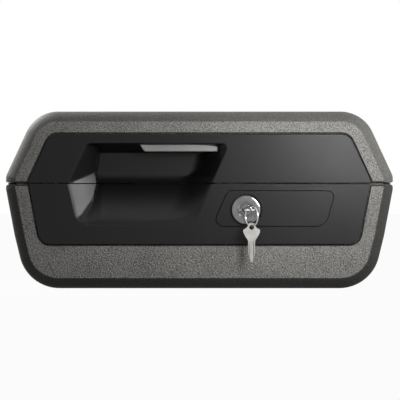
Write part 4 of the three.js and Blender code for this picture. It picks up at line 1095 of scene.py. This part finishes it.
def scaled(colour, factor, lift=0.0):
    return tuple(min(c * factor + lift, 1.0) for c in colour)


def pebble_shell(name, shaded_band_low, shaded_band_high):
    """Moulded plastic with a pebbled skin and lighter and darker flecks; smoother edge band, made darker by
    painted shade.
    """
    warm_grey = (1.0, 0.98, 0.93)
    finish = Finish(name, (0.19, 0.185, 0.175), 0.62, specular=0.15)
    grain = finish.cells(1.35 * MM)
    fine = finish.noise(0.5 * MM, detail=3.0)
    flecks = finish.noise(1.1 * MM, detail=3.0, rough=0.65)
    cloud = finish.spread(finish.noise(22 * MM), 0.35, 0.65, -0.07, 0.07)
    band = finish.slanting()
    share = finish.reckoned("ADD", finish.spread(flecks, 0.36, 0.64, 0.0, 1.0),
                            finish.spread(grain, 0.1, 0.7, 0.25, -0.25))
    share = finish.reckoned("ADD", share, cloud)
    face = finish.mixed(share, (0.085, 0.083, 0.079), (0.345, 0.337, 0.319))
    # Painted shade: the slanting edge band takes a darker colour than the face
    edge = finish.mixed(share, scaled(warm_grey, shaded_band_low), scaled(warm_grey, shaded_band_high))
    finish.surface(finish.mixed(band, face, edge), finish.spread(flecks, 0.3, 0.7, 0.52, 0.72))
    relief = finish.spread(band, 0.0, 1.0, 1.0, 0.3)
    pebbles = finish.spread(grain, 0.0, 0.75, 1.0, 0.0)
    finish.bump(finish.reckoned("MULTIPLY", pebbles, relief), 0.34 * MM)
    finish.bump(finish.reckoned("MULTIPLY", fine, relief), 0.12 * MM)
    return finish.material


def satin_black():
    """Fine satin moulded black plastic, with a painted highlight that lightens its edges."""
    finish = Finish("satin_black", (0.006, 0.006, 0.0062), 0.35, specular=0.2)
    cloud = finish.noise(35 * MM)
    fine = finish.noise(0.45 * MM)
    # Painted highlight: colour lighter within 0.7 mm of an edge
    colour = finish.mixed(finish.edges(0.7 * MM), (0.0055, 0.0055, 0.0058), (0.014, 0.014, 0.0145))
    finish.surface(colour, finish.reckoned("ADD", finish.spread(cloud, 0.3, 0.7, 0.33, 0.38),
                                           finish.spread(fine, 0.3, 0.7, -0.02, 0.02)))
    finish.bump(fine, 0.035 * MM)
    return finish.material


def moulded(name, colour, roughness, grain=0.6, relief=0.03):
    """Plain moulded plastic or rubber with a fine grain and a painted highlight on its edges."""
    finish = Finish(name, colour, roughness, specular=0.4)
    fine = finish.noise(grain * MM, detail=3.0)
    cloud = finish.spread(finish.noise(30 * MM), 0.3, 0.7, 0.0, 1.0)
    skin = finish.mixed(cloud, scaled(colour, 0.88), scaled(colour, 1.15))
    # Painted highlight: colour lighter within 0.6 mm of an edge
    finish.surface(finish.mixed(finish.edges(0.6 * MM), skin, scaled(colour, 1.35, 0.01)),
                   finish.spread(fine, 0.3, 0.7, roughness - 0.06, roughness + 0.06))
    finish.bump(fine, relief * MM)
    return finish.material


def cast_fill():
    """Rough light cast filling with small pores."""
    roughness = 0.95
    finish = Finish("cast_fill", (0.5, 0.47, 0.41), roughness, specular=0.2)
    pores = finish.cells(4 * MM)
    fine = finish.noise(1.2 * MM, detail=5.0, rough=0.7)
    colour = finish.mixed(finish.spread(fine, 0.3, 0.7, 0.0, 1.0), (0.40, 0.37, 0.32), (0.58, 0.55, 0.49))
    finish.surface(colour, roughness)
    finish.bump(finish.spread(pores, 0.0, 0.25, 0.0, 1.0), 0.5 * MM)
    finish.bump(fine, 0.25 * MM)
    return finish.material


def metal(name, colour, roughness, brushed, relief=0.01, scuffs=0.08):
    """Metal with fine lines along one direction, scuffs and a painted highlight on its edges."""
    finish = Finish(name, colour, roughness, metallic=1.0)
    brushing = finish.noise(0.35 * MM, detail=3.0, place=finish.stretched(brushed))
    cloud = finish.noise(6 * MM, detail=4.0, rough=0.6)
    skin = finish.mixed(finish.spread(cloud, 0.35, 0.65, 0.0, 1.0), scaled(colour, 0.82), colour)
    dullness = finish.reckoned("ADD", finish.spread(brushing, 0.3, 0.7, roughness - 0.05, roughness + 0.05),
                               finish.spread(cloud, 0.45, 0.7, 0.0, scuffs))
    # Painted highlight: colour brighter within 0.3 mm of an edge
    finish.surface(finish.mixed(finish.edges(0.3 * MM), skin, scaled(colour, 1.12)), dullness)
    finish.bump(brushing, relief * MM)
    return finish.material


LOOKS = {
    # Painted shade: the two pebble copies differ only in the edge band's colour, much darker on the base
    "pebble_lid": pebble_shell("pebble_lid", 0.062, 0.112),
    "pebble_base": pebble_shell("pebble_base", 0.022, 0.045),
    "black": satin_black(),
    "liner": moulded("liner", (0.022, 0.022, 0.023), 0.55),
    "plug": moulded("plug", (0.015, 0.015, 0.015), 0.5),
    "rubber": moulded("rubber", (0.012, 0.012, 0.012), 0.8, grain=0.9, relief=0.05),
    "paddle": moulded("paddle", (0.37, 0.37, 0.36), 0.42, relief=0.02),
    "fill": cast_fill(),
    "chrome": metal("chrome", (0.21, 0.21, 0.21), 0.15, (1.0, 0.2, 1.0), 0.0012, 0.02),
    "nickel": metal("nickel", (0.345, 0.34, 0.325), 0.34, (1.0, 1.0, 0.06), 0.02),
    "ring": metal("ring", (0.50, 0.50, 0.50), 0.2, (1.0, 1.0, 0.3), 0.006),
    "zinc": metal("zinc", (0.55, 0.56, 0.57), 0.38, (0.1, 1.0, 1.0), 0.02),
    "spring": metal("spring", (0.45, 0.45, 0.46), 0.3, (1.0, 1.0, 0.3)),
}


def pair(name):
    return (name + "_left", name + "_right")


NODE_LOOKS = {
    "liner": ("base_liner", "lid_liner"),
    "plug": ("base_fill_plug", "lid_fill_plug"),
    "rubber": ("rim_seal",),
    "fill": ("base_fill", "lid_fill"),
    "zinc": ("strike_plate", "lock_nut", "lock_cam", "cam_screw", "lock_striker", "latch_hook", "latch_pin",
             "latch_bracket", *pair("hinge_pin"), *pair("strike_screw"), *pair("striker_screw"),
             *pair("bracket_screw")),
    "spring": pair("paddle_spring"),
}


def wear(piece, look):
    piece.data.materials.clear()
    piece.data.materials.append(LOOKS[look])


for look, names in NODE_LOOKS.items():
    for name in names:
        wear(nodes[name], look)


# Pieces that stand for CAD nodes


PIECES = [
    (base_shell(), "base_shell", "base", "pebble_shell", "pebble_base"),
    (lid_shell(), "lid_shell", "lid", "pebble_shell", "pebble_lid"),
    (base_panel(), "base_front_panel", "base", "satin_black", "black"),
    (lid_panel(), "lid_front_panel", "lid", "satin_black", "black"),
    (lock_plate(), "lock_plate", "base", "satin_black", "black"),
    (lock_housing(), "lock_housing", "base", "lock_chrome", "chrome"),
    (lock_plug(), "lock_plug", "lock_core", "lock_chrome", "chrome"),
    (placed(key("lock_blank"), KEY_HOLE, math.pi, "X"), "lock_key", "key", "key_nickel", "nickel"),
    (placed(key("spare_blank"), SPARE_HOLE, math.pi / 2, "X"), "spare_key", "spare", "key_nickel", "nickel"),
    (key_ring(), "key_ring", "ring", "ring_steel", "ring"),
    (release_paddle(), "release_paddle", "paddle", "paddle_grey", "paddle"),
]
for piece, node, moving, slot, look in PIECES:
    piece.name = node + "_fine"
    smooth(piece)
    wear(piece, look)
    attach(piece, moving)
    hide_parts(node)


# Floor, background, lamps and camera

WHITE = (1.0, 1.0, 1.0, 1.0)
FLOOR_GREY = (0.15, 0.15, 0.15, 1.0)
FLOOR_GLOW = 0.96
WORLD_LIGHT = 0.06


def seen_as_background(tree):
    """One where the camera, a mirror or glass looks at it, zero for the light that it bounces."""
    path = tree.nodes.new("ShaderNodeLightPath")
    total = path.outputs["Is Camera Ray"]
    for name in ("Is Glossy Ray", "Is Transmission Ray"):
        highest = tree.nodes.new("ShaderNodeMath")
        highest.operation = "MAXIMUM"
        tree.links.new(total, highest.inputs[0])
        tree.links.new(path.outputs[name], highest.inputs[1])
        total = highest.outputs["Value"]
    return total


def mix_shaders(tree, share, first, second, target):
    """Links a mix of two shaders to a node's surface."""
    mix = tree.nodes.new("ShaderNodeMixShader")
    for i, socket in enumerate((share, first.outputs[0], second.outputs[0])):
        tree.links.new(socket, mix.inputs[i])
    tree.links.new(mix.outputs["Shader"], target.inputs["Surface"])


def floor_material():
    """Pale floor that looks white but keeps the object's shadow."""
    material = bpy.data.materials.new("floor_look")
    material.use_nodes = True
    tree = material.node_tree
    tree.nodes.clear()
    plain = tree.nodes.new("ShaderNodeBsdfDiffuse")
    plain.inputs["Color"].default_value = FLOOR_GREY
    glow = tree.nodes.new("ShaderNodeEmission")
    glow.inputs["Color"].default_value = WHITE
    share = tree.nodes.new("ShaderNodeMath")
    share.operation = "MULTIPLY"
    share.inputs[1].default_value = FLOOR_GLOW
    tree.links.new(seen_as_background(tree), share.inputs[0])
    mix_shaders(tree, share.outputs["Value"], plain, glow, tree.nodes.new("ShaderNodeOutputMaterial"))
    return material


def floor():
    mesh = bpy.data.meshes.new("floor")
    mesh.from_pydata([(i * FLOOR_HALF, k * FLOOR_HALF, 0) for i, k in QUARTERS], [], [(0, 1, 2, 3)])
    mesh.materials.append(floor_material())
    made = added("floor", mesh)
    made.location.z = -FLOOR_DROP


def surroundings():
    """White to the camera and in reflections, with little light of their own."""
    world = bpy.data.worlds.new("surroundings")
    bpy.context.scene.world = world
    world.use_nodes = True
    tree = world.node_tree
    light = tree.nodes["Background"]
    white = tree.nodes.new("ShaderNodeBackground")
    for background, strength in ((light, WORLD_LIGHT), (white, 1.0)):
        background.inputs["Color"].default_value = WHITE
        background.inputs["Strength"].default_value = strength
    mix_shaders(tree, seen_as_background(tree), light, white, tree.nodes["World Output"])


# Lamps in metres: name, place, target, side, power and spread in degrees
LAMPS = [
    ("main", (0.205, -0.62, 0.20), (0.12, -0.165, 0.16), 0.12, 0.30, 70.0),
    ("near", (0.45, -0.525, 0.335), (0.10, -0.165, 0.18), 0.25, 0.16, 60.0),
    ("side", (0.745, -0.31, 0.30), (-0.11, -0.155, 0.09), 0.2, 0.38, 50.0),
    ("rim", (-0.50, 0.02, 0.50), (-0.17, -0.14, 0.11), 0.2, 2.0, 80.0),
    ("top", (0.0, -0.5, 1.1), (0.0, -0.165, 0.1), 0.6, 1.2, 180.0),
    ("back", (0.35, 1.2, 0.8), (0.0, 0.1, 0.1), 0.8, 8.0, 180.0),
]


def lamp(name, place, target, side, power, spread):
    data = bpy.data.lights.new(name, "AREA")
    data.size = side
    data.energy = power
    data.spread = math.radians(spread)
    made = added(name, data)
    made.location = place
    made.rotation_euler = (Vector(target) - Vector(place)).to_track_quat("-Z", "Y").to_euler()


def camera():
    data = bpy.data.cameras.new("camera")
    data.sensor_width = SENSOR
    data.lens = SENSOR * CAMERA_DISTANCE / (PHOTO_PIXELS * METRES_PER_PIXEL)
    made = added("camera", data)
    made.location = (PHOTO_CENTRE_X, FRONT * MM - CAMERA_DISTANCE, PHOTO_CENTRE_Z)
    made.rotation_euler = (math.radians(90), 0, 0)
    bpy.context.scene.camera = made


floor()
surroundings()
for settings in LAMPS:
    lamp(*settings)
camera()
bpy.context.scene.view_settings.view_transform = "Standard"
